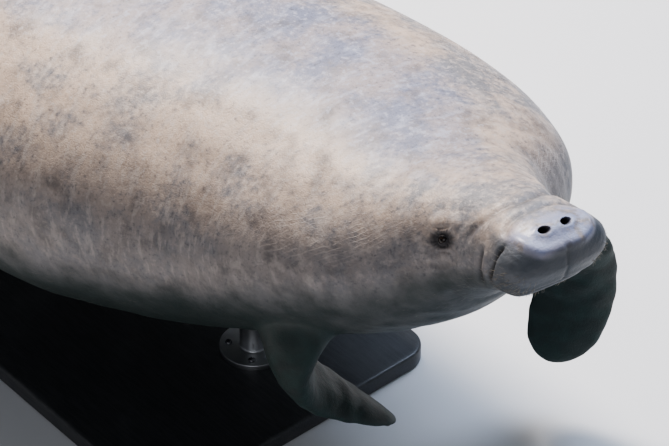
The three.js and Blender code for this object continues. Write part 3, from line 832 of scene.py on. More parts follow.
def refine(sheet, spots):
    """Divides the faces near some spots, given by middle and reach, in a sheet of angles and stations."""
    for middle, reach in spots:
        centres = np.array([face.calc_center_median() for face in sheet.faces])
        at = body_points(centres[:, 1], centres[:, 0])
        near = np.linalg.norm(at - middle, axis=1) < reach
        edges = {edge for face, is_near in zip(sheet.faces, near) if is_near for edge in face.edges}
        bmesh.ops.subdivide_edges(sheet, edges=list(edges), cuts=1, use_grid_fill=True)
    uneven = [face for face in sheet.faces if len(face.verts) > 4]
    bmesh.ops.triangulate(sheet, faces=uneven)


def body_skin():
    """The skin of head, trunk and tail, its points, and what is known about each of them."""
    stations = ring_stations()
    angles = np.linspace(-math.pi / 2, 1.5 * math.pi, COLUMNS + 1)
    s, a = np.meshgrid(stations, angles, indexing="ij")
    flat = mesh_object("sheet", np.stack([a, s, 0 * s], -1).reshape(-1, 3), grid_faces(*s.shape))
    sheet = bmesh.new()
    sheet.from_mesh(flat.data)
    bpy.data.objects.remove(flat)
    spots = []
    for side in (-1, 1):
        for at, elevation in (EYE_PLACE, NOSTRIL_PLACE):
            middle = place(at, elevation if side > 0 else 180 - elevation)
            spots += [(middle, reach) for reach in FINE_REACH]
    refine(sheet, spots)
    angle, station = np.array([v.co for v in sheet.verts])[:, :2].T
    sheet.verts.index_update()
    faces = [[v.index for v in face.verts] for face in sheet.faces]
    sheet.free()
    straight, furrow = skin_points(station, angle)
    ends = station < stations[0] + 1e-6, station > stations[-1] - 1e-6
    tips = body_points(np.array([0, BODY_LENGTH]), np.zeros(2)) * (0, 1, 1)
    for tip, ring in zip(tips, ends):
        tip += (straight[ring] - body_points(station[ring], angle[ring])).mean(0) * (0, 1, 1)
    straight = np.vstack([straight, tips])
    points = posed(straight)
    piece = mesh_object("body", points, faces)
    close_ends(piece, len(station), ends)
    facts = skin_facts(station, angle, furrow, straight[:-2])
    return piece, points, {name: np.concatenate([v, v[[0, -1]]]) for name, v in facts.items()}


def skin_facts(station, angle, furrow, points):
    """What materials and hairs read at each point of the skin, mostly shares from 0 to 1."""
    up = np.sin(angle)
    snout_top = smooth(up, 0.55, 0.80) * smooth(station, 0.003, 0.012)
    beside_furrows = 1 - smooth(furrow, 0.2, 0.5)
    return {
        "furrow": furrow,
        # How much a point faces down; the painted shade of the underside follows it, a little less at the
        # neck.
        "under": smooth(-up, -0.10, 0.55) * (0.74 + 0.26 * smooth(station, 0.35, 0.85)),
        # How much a point faces up; the back gets more painted sunlight and pale highlight.
        "back": smooth(up, 0.12, 0.72),
        # Top of the back and neck, which gets a painted reflection of the sky.
        "crest": smooth(up, 0.84, 0.99) * between(station, 0.15, 0.40, 1.4, 2.2),
        "tail": smooth(station, 1.5, 2.7),
        "hatch": hump(station - 0.39, 0.12) * hump(up - 0.32, 0.24),
        # The wet top of the snout: more coat and less roughness, and a painted reflection of the sky.
        "wet_sheen": snout_top * (1 - smooth(station, 0.042, 0.090)),
        # Painted shade on the sides and front of the snout, off its wet top.
        "snout_shade": (1 - snout_top) * (1 - smooth(station, 0.052, 0.120)),
        "bristles": bristle_density(points) * beside_furrows,
        "hairs": hair_density(station) * beside_furrows,
        "unwrap": np.column_stack([angle / (2 * math.pi) + 0.25, station / BODY_LENGTH, 0 * angle]),
        "lie": spine_direction(station),
    }


def close_ends(piece, first_tip, rings):
    """Closes the open rings round their tips, and the seam under the body."""
    work = bmesh.new()
    work.from_mesh(piece.data)
    work.verts.ensure_lookup_table()
    for tip, ring in enumerate(rings):
        members = set(np.flatnonzero(ring).tolist())
        middle = work.verts[first_tip + tip]
        for edge in [e for e in work.edges if e.is_boundary]:
            if all(v.index in members for v in edge.verts):
                work.faces.new([edge.verts[0], edge.verts[1], middle])
    seam = [v for v in work.verts if v.is_boundary]
    bmesh.ops.weld_verts(work, targetmap=paired(seam))
    bmesh.ops.recalc_face_normals(work, faces=work.faces)
    work.to_mesh(piece.data)
    work.free()


def paired(seam):
    """Which point of a seam goes to which, for points at one place."""
    tree = KDTree(len(seam))
    for i, vert in enumerate(seam):
        tree.insert(vert.co, i)
    tree.balance()
    target = {}
    for i, vert in enumerate(seam):
        for _, j, _ in tree.find_range(vert.co, 1e-5):
            if j > i:
                target[seam[j]] = vert
    return target


def bristle_density(points):
    """Where the stiff bristles grow: on both lobes of the upper lip, and on the chin."""
    side = mirrored(points)
    density = np.max([most * spot(side, at, radius) for most, radius, at in BRISTLE_PATCHES], axis=0)
    return np.where(density > BRISTLE_EDGE, density, 0)


def hair_density(station):
    """Where the sparse single hairs grow: all over, closer on the face."""
    face = 1 - smooth(station, 0.10, 0.40)
    return (0.12 + 0.88 * face) * between(station, 0.01, 0.05, 2.6, 2.9)


def flipper_frame(side, t):
    """A flipper's section: middle, directions along, to the leading edge and through, width, thickness."""
    columns = column_splines(FLIPPERS[side])
    middle, ahead, behind = (np.stack([f(at) for f in columns[:3]], -1) for at in (t, t + 0.001, t - 0.001))
    along = unit(ahead - behind)
    edge = np.stack([f(t) for f in columns[5:]], -1)
    edge = unit(edge - (edge * along).sum(-1, keepdims=True) * along)
    return middle, along, edge, np.cross(along, edge), columns[3](t), columns[4](t)


def flipper_points(side, t, angle):
    """Points of a flipper's skin, by share of its length and angle round it from the leading edge."""
    middle, along, edge, face, width, thickness = flipper_frame(side, t)
    tip = np.clip((t - TIP_START) / (1 - TIP_START), 0, 1)
    shut = np.sqrt(1 - tip**2.4)
    across = width / 2 * shut * np.cos(angle)
    through = thickness / 2 * shut**0.7 * power(np.sin(angle), 1.15) * (1 + 0.25 * np.cos(angle))
    at = middle + edge * across[..., None] + face * through[..., None]
    root = posed(np.array([side * SHOULDER[0], SHOULDER[1], SHOULDER[2]]))
    return np.stack([side * at[..., 0], -at[..., 1], at[..., 2]], -1) + root


def flipper_skin(side):
    """A flipper's skin, and the painted shade that each of its points gets in the furrows."""
    start = TIP_START + 0.06
    tip = start + (1 - start) * np.sin(np.linspace(0, math.pi / 2, TIP_RINGS)[1:-1])
    shares = np.append(np.linspace(0, start, FLIPPER_RINGS), tip)
    turns = np.linspace(0, 2 * math.pi, FLIPPER_COLUMNS, endpoint=False)
    t, a = np.meshgrid(shares, turns, indexing="ij")
    plain = flipper_points(side, t, a)
    ahead = flipper_points(side, np.minimum(t + 0.002, 1), a) - flipper_points(side, t - 0.002, a)
    around = flipper_points(side, t, a + 0.02) - flipper_points(side, t, a - 0.02)
    out = unit(np.cross(around, ahead)) * side
    flat = plain.reshape(-1, 3)
    down_length = np.stack([0.05 * np.cos(a), 0.42 * t, 0.05 * np.sin(a)], -1).reshape(-1, 3)
    folded = creases(down_length * (0.35, 1, 0.35), 12, 0.032, 11 + side).reshape(t.shape)
    deep = folded * (0.35 + 0.65 * (1 - smooth(t, 0.25, 0.75)))
    height = -0.0016 * deep + (0.0011 * waves(flat, 14, 0.045, 13 + side)).reshape(t.shape)
    height *= 1 - smooth(t, 0.93, 1.0)
    rings = plain + out * height[..., None]
    end = flipper_points(side, np.array(1.0), np.array(0.0))
    piece = lofted("flipper", rings, rings[0].mean(0), end)
    # Half the furrows' depth is painted shade.
    return piece, np.append(0.5 * deep.ravel(), [0, 0])


def joined(pieces):
    """The first piece with the others joined to it, as one closed surface."""
    body, *others = pieces
    for other in others:
        union = body.modifiers.new("join", "BOOLEAN")
        union.operation = "UNION"
        union.solver = "MANIFOLD"
        union.object = other
    skin = bpy.data.meshes.new_from_object(body.evaluated_get(bpy.context.evaluated_depsgraph_get()))
    skin.attributes.active_color = None
    piece = bpy.data.objects.new("skin", skin)
    bpy.context.scene.collection.objects.link(piece)
    for part in pieces:
        bpy.data.objects.remove(part)
    return piece


def tree_of(points):
    tree = KDTree(len(points))
    for i, point in enumerate(points):
        tree.insert(point, i)
    tree.balance()
    return tree


def evened(values, edges, share, rounds):
    """Values of the points, moved in rounds towards the mean of their neighbours by each point's share."""
    values = values.copy()
    a, b = edges.T
    count = np.bincount(edges.ravel(), minlength=len(values)).astype(float)
    for _ in range(rounds):
        total = np.zeros_like(values)
        np.add.at(total, a, values[b])
        np.add.at(total, b, values[a])
        mean = total / (count[:, None] if values.ndim > 1 else count)
        values += (share[:, None] if values.ndim > 1 else share) * (mean - values)
    return values


def make_skin():
    """The whole skin as one surface, with what is known about each of its points."""
    body, body_places, facts = body_skin()
    sources, pieces = [body_places], [body]
    for side in FLIPPERS:
        flipper, furrow = flipper_skin(side)
        count = len(furrow)
        # The flippers count wholly as underside, for its painted shade.
        own = {"furrow": furrow, "under": np.ones(count)}
        facts = {
            name: np.concatenate([values, own.get(name, np.zeros((count, *values.shape[1:])))])
            for name, values in facts.items()
        }
        sources.append(points_of(flipper))
        pieces.append(flipper)
    tree = tree_of(np.vstack(sources))
    skin = joined(pieces)
    merge_slivers(skin, tree)
    points = points_of(skin)
    found = [tree.find(point) for point in points]
    nearest = np.array([index for _, index, _ in found])
    new = np.array([distance for _, _, distance in found]) > 1e-5
    on_flipper = (nearest >= len(body_places)).astype(float)
    seams = tree_of(points[new])
    from_seam = np.array([seams.find(point)[2] for point in points])
    edges = np.array([edge.vertices[:] for edge in skin.data.edges])
    share = 0.5 * (1 - smooth(from_seam, 0.012, 0.050))
    set_points(skin, evened(points, edges, share, 26))
    for name, values in facts.items():
        set_attribute(skin, name, evened(values[nearest], edges, 0.6 * hump(from_seam, 0.05), 30))
    set_attribute(skin, "limb", evened(on_flipper, edges, 0.6 * hump(from_seam, 0.10), 90))
    skin.data.shade_smooth()
    return skin


def merge_slivers(skin, tree):
    """Draws together the new points along the seams that lie very near others."""
    work = bmesh.new()
    work.from_mesh(skin.data)
    new = [v for v in work.verts if tree.find(v.co)[2] > 1e-5]
    near = {v for seam in new for edge in seam.link_edges for v in edge.verts}
    bmesh.ops.remove_doubles(work, verts=list(near), dist=0.0022)
    bmesh.ops.triangulate(work, faces=[face for face in work.faces if len(face.verts) > 4])
    work.to_mesh(skin.data)
    work.free()


# The camera and the lights


def make_camera():
    camera = bpy.data.cameras.new("camera")
    camera.sensor_width = 36
    camera.angle = math.radians(CAMERA_FIELD)
    azimuth, elevation = math.radians(CAMERA_AZIMUTH), math.radians(CAMERA_ELEVATION)
    level = math.cos(elevation)
    back = Vector((math.sin(azimuth) * level, -math.cos(azimuth) * level, math.sin(elevation)))
    bpy.context.scene.camera = put_up("camera", camera, CAMERA_TARGET + back * CAMERA_DISTANCE, back)


def put_up(name, what, at, back):
    """Puts up a camera or a lamp that looks the other way than back."""
    holder = bpy.data.objects.new(name, what)
    holder.location = at
    holder.rotation_euler = back.to_track_quat("Z", "Y").to_euler()
    bpy.context.scene.collection.objects.link(holder)
    return holder


def make_lights():
    bpy.context.scene.view_settings.look = "AgX - Medium High Contrast"
    world = bpy.data.worlds.new("studio")
    bpy.context.scene.world = world
    world.use_nodes = True
    background = world.node_tree.nodes["Background"].inputs
    background["Color"].default_value = (*STUDIO_COLOUR, 1)
    background["Strength"].default_value = STUDIO_STRENGTH
    for name, (at, aim, size, watts, colour) in LAMPS.items():
        light = bpy.data.lights.new(name, "AREA")
        light.energy = watts
        light.size = size
        light.color = colour
        put_up(name, light, at, Vector(at) - Vector(aim))


# The finishes


def hide_finish():
    """Wet grey-brown hide, cracked into small plates, with crossing lines on the neck."""
    finish = Finish("hide", {"Coat Roughness": 0.22, "Coat IOR": 1.33, "Specular IOR Level": 0.38})
    # wet_sheen marks the wet snout top, which gets coat and a painted reflection of the sky.
    limb, wet_sheen = finish.known("limb"), finish.known("wet_sheen") * finish.step(finish.noise(34, 4), 0.30, 0.50)
    patch, speck = finish.noise(8.5, 4), finish.noise(190, 2)
    hatch = finish.known("hatch") * finish.step(finish.noise(15, 4, 0.7), 0.42, 0.60)
    hatching = (finish.lines(math.radians(38)) + finish.lines(math.radians(-33)) * 0.5) * hatch
    ruffled = finish.shifted(24, 0.018)
    plates = finish.step(finish.cells(75, ruffled), 0.0, 0.16) * finish.step(patch, 0.35, 0.6)
    small_plates = finish.step(finish.cells(210, ruffled), 0.0, 0.25)
    grain = finish.noise(62, 4) * 0.0011
    finish.raise_by(plates * 0.00015 + small_plates * 0.00013 + grain + hatching * 0.0003)
    finish.wear({
        "Base Color": hide_colour(finish, patch, speck, limb, wet_sheen, hatching),
        "Roughness": 0.33 + patch * 0.20 + speck * 0.16 - wet_sheen * 0.08 + limb * 0.10,
        "Coat Weight": (0.13 + wet_sheen * 0.40) * (1 - limb * 0.8),
    })
    return finish.material


def hide_colour(finish, patch, speck, limb, wet_sheen, hatching):
    """The hide's colour: dapples, flecks and streaks over grey, with painted sunlight in tan on the back,
    painted sky reflection on the crest and the wet snout, and painted shade below, on the flippers, on the
    snout's sides and in the furrows.
    """
    furrow, under, snout_shade, back = (finish.known(name) for name in ("furrow", "under", "snout_shade", "back"))
    crest, tail = finish.known("crest"), finish.known("tail")
    broad, dapple, fleck = finish.noise(2.3, 3), finish.noise(22, 3, 0.55), finish.noise(75, 3)
    streak = finish.noise(46, 3, 0.6, finish.unwrapped((0.8, BODY_LENGTH, 1)))
    on_back = finish.step(under, 0.75, 0.0) * (1 - snout_shade)
    # Painted sunlight in tan patches, on the upper body only.
    sunny = finish.step(broad * 0.45 + patch * 0.45 + fleck * 0.2, 0.46, 0.61) * on_back
    dappled = finish.step(dapple * 0.55 + patch * 0.25 + fleck * 0.2, 0.47, 0.67)
    streaked = finish.step(streak, 0.50, 0.66) * on_back * (1 - limb)
    # Pale flecks, partly real specks and partly painted highlight, stronger on the back.
    flecks_and_highlights = finish.step(fleck * 0.7 + speck * 0.3, 0.52, 0.66) * on_back * (0.25 + back * 0.35)
    dark_flecks = finish.step(fleck * 0.5 + speck * 0.5, 0.48, 0.32)
    # Painted shade on the underside, broken up by patches and dapples.
    below = finish.step(under * 0.8 + patch * 0.6 + dapple * 0.3, 0.50, 1.25)
    # Pale streaks and flecks, turning into painted sheen along the crest.
    pale_and_sheen = finish.mix(crest, PALE_SCARS_AND_HIGHLIGHTS, HIDE_SHEEN)
    return finish.layers(
        HIDE_GREY,
        # Painted reflection of the sky along the crest.
        (crest * 0.9, CREST_SKY_SHEEN),
        # Painted sunlight in tan, most on the back, less on the crest.
        (sunny * (0.25 + back * 0.75 - crest * 0.55), SUNLIT_TAN),
        (dappled * 0.62, HIDE_DARK),
        (streaked * 0.36, pale_and_sheen),
        (flecks_and_highlights, pale_and_sheen),
        (dark_flecks * 0.48, HIDE_DARK),
        (tail * 0.75, HIDE_DARK),
        # painted shade on the underside
        (below * 0.92, UNDERSIDE_SHADE),
        # Painted shade on the snout's sides and front.
        (snout_shade * (0.45 + dapple * 0.7), SNOUT_SHADE_GREY),
        # Painted shade on the flippers, dappled between slate and teal.
        (limb * 0.96, finish.mix(finish.step(dapple, 0.4, 0.65), UNDERSIDE_SHADE, FLIPPER_SHADE_TEAL)),
        # Painted highlight along the crossing ridges of the neck.
        (hatching * 0.48, PALE_SCARS_AND_HIGHLIGHTS),
        # Painted reflection of the sky on the wet top of the snout.
        (wet_sheen * 0.85, SKY_SHEEN_LAVENDER),
        # Painted shade in furrows, in the eyes' openings and hollows, in the nostrils and along the mouth.
        (finish.step(furrow, 0.05, 0.85) * 0.95, FOLD_SHADE),
    )


def eye_finish():
    """A dark wet eye: black pupil, deep brown iris, and brown-grey white of the eye."""
    shine = {"Roughness": 0.12, "Specular IOR Level": 0.25, "Coat Weight": 0.4, "Coat Roughness": 0.03}
    finish = Finish("wet_eye", shine)
    across = finish.known("across")
    iris = finish.mix(finish.step(finish.noise(900, 2), 0.35, 0.65), IRIS_DARK, IRIS_BROWN)
    layers = (finish.step(across, 0.20, 0.25), iris), (finish.step(across, 0.50, 0.60), EYE_WHITE)
    finish.wear({"Base Color": finish.layers(PUPIL_BLACK, *layers)})
    return finish.material


def nail_finish():
    """Worn horn, dark at the root, with fine ridges to its edge."""
    finish = Finish("nail_horn", {})
    along, across = finish.known("along"), finish.known("across")
    at = finish.node("ShaderNodeCombineXYZ", {}, {"X": across * 26, "Y": along * 2})
    ridges = finish.noise(1.0, 2, 0.5, at)
    worn, ridged = finish.step(along, 0.0, 0.9), finish.step(ridges, 0.45, 0.65) * 0.5
    finish.raise_by(ridges * 0.0004)
    finish.wear({
        "Base Color": finish.layers(NAIL_ROOT, (worn, NAIL_EDGE), (ridged, NAIL_RIDGE)),
        "Roughness": 0.32 + ridges * 0.25,
    })
    return finish.material


def hair_finish(name, root, tip):
    """Stiff hair, darker at its root."""
    finish = Finish(name, {"Roughness": 0.4})
    finish.wear({"Base Color": finish.mix(finish.known("along"), root, tip)})
    return finish.material


def lacquer_finish():
    """Satin dark grey lacquer over a fine-grained board, a little worn along its edges."""
    finish = Finish("satin_lacquer", {"Coat Weight": 0.25, "Coat Roughness": 0.22})
    grain = finish.noise(14, 4, 0.65, finish.stretched((14, 1, 14)))
    pores = finish.step(finish.noise(90, 2, 0.6, finish.stretched((10, 0.6, 10))), 0.60, 0.72)
    clouds, speck = finish.noise(5, 3), finish.noise(420, 2)
    worn = finish.known("edge") * finish.step(finish.noise(30, 4, 0.7), 0.42, 0.62)
    colour = finish.layers(
        LACQUER_DARK,
        (finish.step(grain, 0.35, 0.65), LACQUER_GREY),
        (pores * 0.5, LACQUER_PORE),
        (worn * 0.25, LACQUER_WORN),
        (finish.step(clouds + speck * 0.4, 0.66, 0.95) * 0.5, LACQUER_DUST),
    )
    finish.raise_by(grain * 0.00025 - pores * 0.00012 + speck * 0.00003)
    finish.wear({"Base Color": colour, "Roughness": 0.34 + clouds * 0.22 + worn * 0.12})
    return finish.material


def steel_finish():
    """Brushed steel, its lines running round the turned piece."""
    finish = Finish("brushed_steel", {"Metallic": 1.0})
    run = finish.node("ShaderNodeCombineXYZ", {}, {"X": finish.known("run") * 1000})
    lines, smears = finish.noise(1.4, 3, 0.7, run), finish.noise(9, 4, 0.65)
    brushed, smeared = finish.step(lines, 0.3, 0.7), finish.step(smears, 0.48, 0.70) * 0.35
    finish.raise_by(lines * 0.00005)
    finish.wear({
        "Base Color": finish.layers(STEEL_GREY, (brushed, STEEL_BRIGHT), (smeared, STEEL_SMEAR)),
        "Roughness": 0.22 + lines * 0.10 + smears * 0.16,
    })
    return finish.material


def screw_finish():
    """Blackened steel, rubbed bright on its raised parts."""
    finish = Finish("dark_steel", {"Metallic": 1.0})
    rubbed = finish.step(finish.noise(420, 4, 0.7), 0.42, 0.66)
    colour = finish.mix(rubbed, SCREW_BLACK, SCREW_BRIGHT)
    finish.wear({"Base Color": colour, "Roughness": 0.48 - rubbed * 0.16})
    return finish.material


def floor_finish():
    finish = Finish("pale_floor", {})
    clouds = finish.noise(1.5, 4)
    colour = finish.mix(clouds, FLOOR_GREY, FLOOR_PALE)
    finish.wear({"Base Color": colour, "Roughness": 0.5 + clouds * 0.2})
    return finish.material


# The eyes, nails, bristles and hairs


def make_eyes():
    """Each eye is a ball with a slightly bulging front, deep in its lids."""
    material = eye_finish()
    turn = np.linspace(0, math.pi, EYE_RINGS)
    radius = EYE_RADIUS + CORNEA_BULGE * (1 - smooth(math.pi - turn, 0.25, 0.75))
    profile = np.column_stack([radius * np.sin(turn), -radius * np.cos(turn)])
    for side, name in ((-1, "eye_right"), (1, "eye_left")):
        middle, down, forward, out = seat(EYE_PLACE, side)
        ball = turned(name + "_ball", profile, EYE_SIDES)
        local = points_of(ball)
        across = np.where(local[:, 2] > 0, np.hypot(local[:, 0], local[:, 1]) / EYE_RADIUS, 1)
        set_points(ball, posed(middle - out * EYE_SINK + local @ np.array([down, forward, out])))
        face_outwards(ball)
        set_attribute(ball, "across", across)
        finished(ball, material, "eye", name)


def make_nails():
    """The small nails on the back of each flipper's tip."""
    material = nail_finish()
    lengthwise = np.linspace(0, math.pi, NAIL_RINGS)
    profile = np.column_stack([np.sin(lengthwise), -np.cos(lengthwise)])
    for side, name in ((-1, "nails_right"), (1, "nails_left")):
        nails = [nail_on(side, np.radians(degrees), profile) for degrees in NAILS]
        finished(gathered(name, nails), material, "flipper_skin")


def nail_on(side, angle, profile):
    """One nail, a little narrower and thicker to its edge, lying on the flipper."""
    at = flipper_points(side, np.array(NAIL_PLACE), angle)
    to_tip = unit(flipper_points(side, np.array(NAIL_PLACE + 0.02), angle) - at)
    around = flipper_points(side, np.array(NAIL_PLACE), angle + 0.14) - at
    out = unit(np.cross(around, to_tip)) * -side
    nail = turned("nail", profile, NAIL_SIDES)
    x, z, y = points_of(nail).T
    set_attribute(nail, "along", (y + 1) / 2)
    set_attribute(nail, "across", x)
    wide, long, thick = NAIL_SIZE
    x, y, z = wide * x * (1 - 0.16 * y), long * y, thick * z * (0.85 + 0.25 * y)
    set_points(nail, at + np.outer(x, np.cross(to_tip, out)) + np.outer(y, to_tip) + np.outer(z, out))
    face_outwards(nail)
    return nail


def gathered(name, pieces):
    """Several pieces as one."""
    bpy.ops.object.select_all(action="DESELECT")
    for piece in pieces:
        piece.select_set(True)
    bpy.context.view_layer.objects.active = pieces[0]
    bpy.ops.object.join()
    pieces[0].name = pieces[0].data.name = name
    return pieces[0]


class Growth(Nodes):
    """A tree of nodes that grows small things on a piece, with named inputs for their sizes."""

    def __init__(self, name, inputs):
        super().__init__(bpy.data.node_groups.new(name, "GeometryNodeTree"))
        geometry = {"Geometry": "Geometry"}
        for side, sockets in (("INPUT", {**geometry, **inputs}), ("OUTPUT", geometry)):
            for socket, kind in sockets.items():
                self.tree.interface.new_socket(socket, in_out=side, socket_type="NodeSocket" + kind)
        self.given = self.tree.nodes.new("NodeGroupInput").outputs

    def size(self, name):
        return Value(self, self.given[name])

    def kept(self, attribute, kind="FLOAT"):
        return self.node("GeometryNodeInputNamedAttribute", {"data_type": kind}, {"Name": attribute})

    def keep(self, shape, attribute, kind, value):
        sockets = {"Geometry": shape, "Name": attribute, "Value": value}
        return self.node("GeometryNodeStoreNamedAttribute", {"data_type": kind}, sockets)

    def vector(self, operation, *values):
        return self.node("ShaderNodeVectorMath", {"operation": operation}, dict(enumerate(values)))

    def joined_up(self, x=0.0, y=0.0, z=0.0):
        return self.node("ShaderNodeCombineXYZ", {}, {0: x, 1: y, 2: z})

    def pointed(self, settings, sockets):
        """A rotation with one of its axes turned to a vector."""
        return self.node("FunctionNodeAlignRotationToVector", settings, sockets)

    def drawn(self, low, high, shift):
        """A random number between two, drawn anew for each point."""
        sockets = {2: low, 3: high, "Seed": self.size("Seed") + shift}
        return self.node("FunctionNodeRandomValue", {"data_type": "FLOAT"}, sockets, 1)

    def set_out(self, points, shape, sockets, material):
        """Puts a shape on each point and makes one plain mesh of them."""
        sockets = {"Points": points, "Instance": shape, **sockets}
        shapes = self.node("GeometryNodeInstanceOnPoints", {}, sockets)
        real = self.node("GeometryNodeRealizeInstances", {}, {"Geometry": shapes})
        painted = self.node("GeometryNodeSetMaterial", {}, {"Geometry": real, "Material": material})
        self.feed(self.tree.nodes.new("NodeGroupOutput").inputs["Geometry"], painted)

    def grow(self, name, ground, sizes):
        """What grows on a piece, as a plain piece of its own."""
        holder = bpy.data.objects.new(name, ground.data.copy())
        bpy.context.scene.collection.objects.link(holder)
        modifier = holder.modifiers.new("growth", "NODES")
        modifier.node_group = self.tree
        for socket in self.tree.interface.items_tree:
            if socket.in_out == "INPUT" and socket.name in sizes:
                modifier[socket.identifier] = sizes[socket.name]
        depsgraph = bpy.context.evaluated_depsgraph_get()
        grown = holder.evaluated_get(depsgraph)
        mesh = bpy.data.meshes.new_from_object(grown, preserve_all_data_layers=True, depsgraph=depsgraph)
        bpy.data.objects.remove(holder)
        piece = bpy.data.objects.new(name, mesh)
        bpy.context.scene.collection.objects.link(piece)
        return piece


def hair_growth(material):
    """Grows tapering, bent hairs where a number kept on the skin says, each along the lie of the coat."""
    inputs = dict.fromkeys(HAIR_SIZES[:-2], "Float")
    growth = Growth("hairs", {"Where": "String", **inputs, "Sides": "Int", "Seed": "Int"})
    density = growth.kept(growth.size("Where")) * growth.size("Hairs per square metre")
    sockets = {"Mesh": growth.size("Geometry"), "Density": density, "Seed": growth.size("Seed")}
    roots = growth.node("GeometryNodeDistributePointsOnFaces", {}, sockets)
    lie = growth.kept("lie", "FLOAT_VECTOR")
    stray = growth.joined_up(*(growth.drawn(-HAIR_STRAY, HAIR_STRAY, i + 1) for i in range(3)))
    leaning = growth.vector("MULTIPLY_ADD", lie, growth.size("Lean"), roots.beside("Normal"))
    upright = growth.pointed({"axis": "Z"}, {"Vector": growth.vector("ADD", leaning, stray)})
    rotation = growth.pointed({"axis": "X", "pivot_axis": "Z"}, {"Rotation": upright, "Vector": lie})
    length = growth.drawn(growth.size("Shortest"), growth.size("Longest"), 4)
    thickness = growth.size("Thickness")
    shape = {"Side Segments": 4, "Radius Top": 0.1, "Radius Bottom": 0.5, "Depth": 1.0}
    cone = growth.node("GeometryNodeMeshCone", {}, {"Vertices": growth.size("Sides"), **shape})
    parts = growth.node("ShaderNodeSeparateXYZ", {}, {0: growth.node("GeometryNodeInputPosition")}, "X")
    height = parts.beside("Z")
    patch = growth.keep(cone, "patch", "FLOAT_VECTOR", growth.joined_up(parts, height))
    hair = growth.keep(patch, "along", "FLOAT", height)
    slimness = growth.maths("DIVIDE", growth.size("Longest"), thickness)
    bent = growth.joined_up(x=height * height * growth.size("Bend") * slimness, z=-HAIR_SUNK)
    hair = growth.node("GeometryNodeSetPosition", {}, {"Geometry": hair, "Offset": bent})
    scale = growth.joined_up(thickness, thickness, length)
    growth.set_out(roots, hair, {"Rotation": rotation, "Scale": scale}, material)
    return growth


def make_hairs(skin):
    """The stiff bristles of the lips, and the sparse fine hairs of the body."""
    for name, (root, tip, *sizes) in HAIRS.items():
        material = hair_finish(name + "_horn", root, tip)
        hairs = hair_growth(material).grow(name, skin, {"Where": name, **dict(zip(HAIR_SIZES, sizes))})
        lay_out(hairs)
        finished(hairs, material, "skin")


def lay_out(hairs):
    """Gives each hair a small patch at its root's place on the unwrapped skin."""
    root, patch = (vectors_of(hairs, name) for name in ("unwrap", "patch"))
    corners = np.empty(len(hairs.data.loops), int)
    hairs.data.loops.foreach_get("vertex_index", corners)
    places = root[:, :2] + HAIR_PATCH * (patch[:, :2] - (0, 0.5))
    layer = hairs.data.uv_layers.new(name="OFBake")
    layer.data.foreach_set("uv", places[corners].astype(np.float32).ravel())


def vectors_of(piece, name):
    values = np.empty(3 * len(piece.data.vertices), np.float32)
    piece.data.attributes[name].data.foreach_get("vector", values)
    return values.reshape(-1, 3)


# The stand


def crisp(piece, degrees=32):
    """Keeps the edges of a hard piece sharp."""
    piece.data.set_sharp_from_angle(angle=math.radians(degrees))


def make_base():
    """The flat base: a board with rounded corners and edges."""
    low, high = (np.array(corner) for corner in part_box("stand_base"))
    half, top = (high - low)[:2] / 2 - BASE_CORNER, high[2]
    lower = quarter(BASE_BEVEL, 5)
    inner, middle = BASE_RINGS
    upper = [(x, top - z) for x, z in reversed(lower)]
    rows = [(middle, 0), (inner, 0), *lower, *upper, (inner, top), (middle, top)]
    quarters = [
        (np.linspace(0, math.pi / 2, CORNER_STEPS) + q * math.pi / 2, half * signs)
        for q, signs in enumerate(((1, 1), (-1, 1), (-1, -1), (1, -1)))
    ]
    rings = []
    for inset, z in rows:
        arcs = [c + (BASE_CORNER - inset) * np.column_stack([np.cos(a), np.sin(a)]) for a, c in quarters]
        outline = np.vstack(arcs)
        rings.append(np.column_stack([outline, np.full(len(outline), z)]))
    base = lofted("base_board", np.array(rings), (0, 0, 0), (0, 0, top))
    edge = [1 - smooth(inset, BASE_BEVEL, inner) for inset, _ in rows]
    set_attribute(base, "edge", np.append(np.repeat(edge, len(rings[0])), [0, 0]))
    finished(base, lacquer_finish(), "stand_base", "stand_base")
    crisp(base)


def rod_place(name):
    """The middle of a rod's underside, and the rod's height."""
    low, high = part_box("stand_rod_" + name)
    return ((low[0] + high[0]) / 2, (low[1] + high[1]) / 2, low[2]), high[2] - low[2]


def make_rods():
    """The two rods, each turned together with its round foot."""
    material = steel_finish()
    fillet = [(ROD_RADIUS + x, FOOT_THICKNESS + z) for x, z in quarter(FOOT_FILLET, 7)]
    edge = [(FOOT_RADIUS - z, FOOT_THICKNESS - x) for x, z in quarter(FOOT_EDGE, 4)]
    for name in RODS:
        middle, reach = rod_place(name)
        shaft = [(ROD_RADIUS, z) for z in np.linspace(FOOT_THICKNESS + 0.03, reach, 12)]
        profile = [(0, 0), (FOOT_RADIUS, 0), *edge, *fillet, *shaft, (0, reach)]
        rod = turned("rod_" + name, profile, ROD_SIDES)
        run = np.cumsum([0, *(math.dist(a, b) for a, b in zip(profile[:-1], profile[1:]))])
        set_attribute(rod, "run", np.append(np.repeat(run[1:-1], ROD_SIDES), [0, run[-1]]))
        set_points(rod, points_of(rod) + middle)
        finished(rod, material, "stand_rod", "stand_rod_" + name)
        crisp(rod)


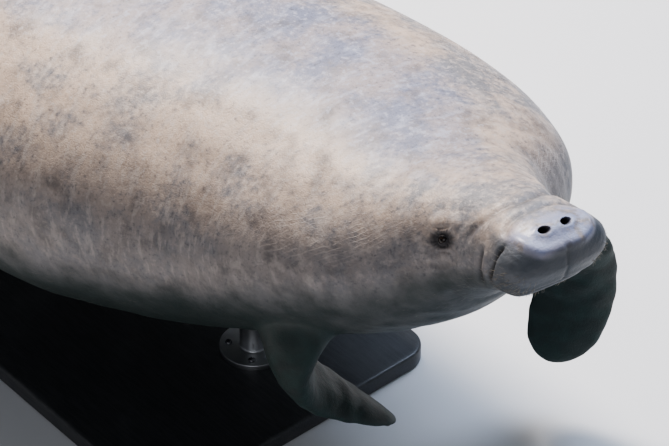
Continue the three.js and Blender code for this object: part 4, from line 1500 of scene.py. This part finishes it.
def screw_head():
    """A round screw head with a six-sided socket."""
    turn = np.linspace(0, 2 * math.pi, SCREW_SIDES, endpoint=False)
    six_sided = math.cos(math.pi / 6) / np.cos(turn % (math.pi / 3) - math.pi / 6)
    rings = []
    for radius, height, in_socket in SCREW_PROFILE:
        reach = radius * (six_sided if in_socket else 1)
        outline = reach * np.cos(turn), reach * np.sin(turn), np.full(SCREW_SIDES, height)
        rings.append(np.column_stack(outline))
    return lofted("screw", np.array(rings), (0, 0, 0), (0, 0, SOCKET_BOTTOM))


def make_screws():
    """Four screws through the foot of each rod."""
    head, material = screw_head(), screw_finish()
    growth = Growth("screws", {"Head": "Object", "Count": "Int", "Ring": "Float", "Seed": "Int"})
    sockets = {"Vertices": growth.size("Count"), "Radius": growth.size("Ring")}
    ring = growth.node("GeometryNodeMeshCircle", {}, sockets)
    sockets = {
        "Points": growth.size("Geometry"),
        "Instance": ring,
        "Rotation": growth.joined_up(z=math.radians(45)),
    }
    circles = growth.node("GeometryNodeInstanceOnPoints", {}, sockets)
    places = growth.node("GeometryNodeRealizeInstances", {}, {"Geometry": circles})
    shape = growth.node("GeometryNodeObjectInfo", {}, {"Object": growth.size("Head")}, "Geometry")
    turns = growth.joined_up(z=growth.drawn(0.0, 2 * math.pi, 1))
    growth.set_out(places, shape, {"Rotation": turns}, material)
    feet = [np.array(rod_place(name)[0]) + (0, 0, FOOT_THICKNESS) for name in RODS]
    ground = mesh_object("feet", feet, [])
    screws = growth.grow("foot_screws", ground, {"Head": head, "Count": 4, "Ring": SCREW_RING, "Seed": 3})
    for spare in (ground, head):
        bpy.data.objects.remove(spare)
    finished(screws, material, "stand_rod")
    crisp(screws)


def make_floor():
    corners = [(x * FLOOR_REACH, y * FLOOR_REACH, 0) for x, y in ((-1, -1), (1, -1), (1, 1), (-1, 1))]
    floor = mesh_object("floor", corners, [(0, 1, 2, 3)])
    floor.data.materials.append(floor_finish())


make_camera()
make_lights()
make_floor()
skin = make_skin()
make_hairs(skin)
make_rods()
make_base()
make_screws()
make_eyes()
make_nails()
FLESH = ["head", "lower_jaw", "neck", "chest", "belly", "tail_stock", "tail_paddle"]
FLESH += ["flipper_right", "flipper_left"]
finished(skin, hide_finish(), "skin", *FLESH)
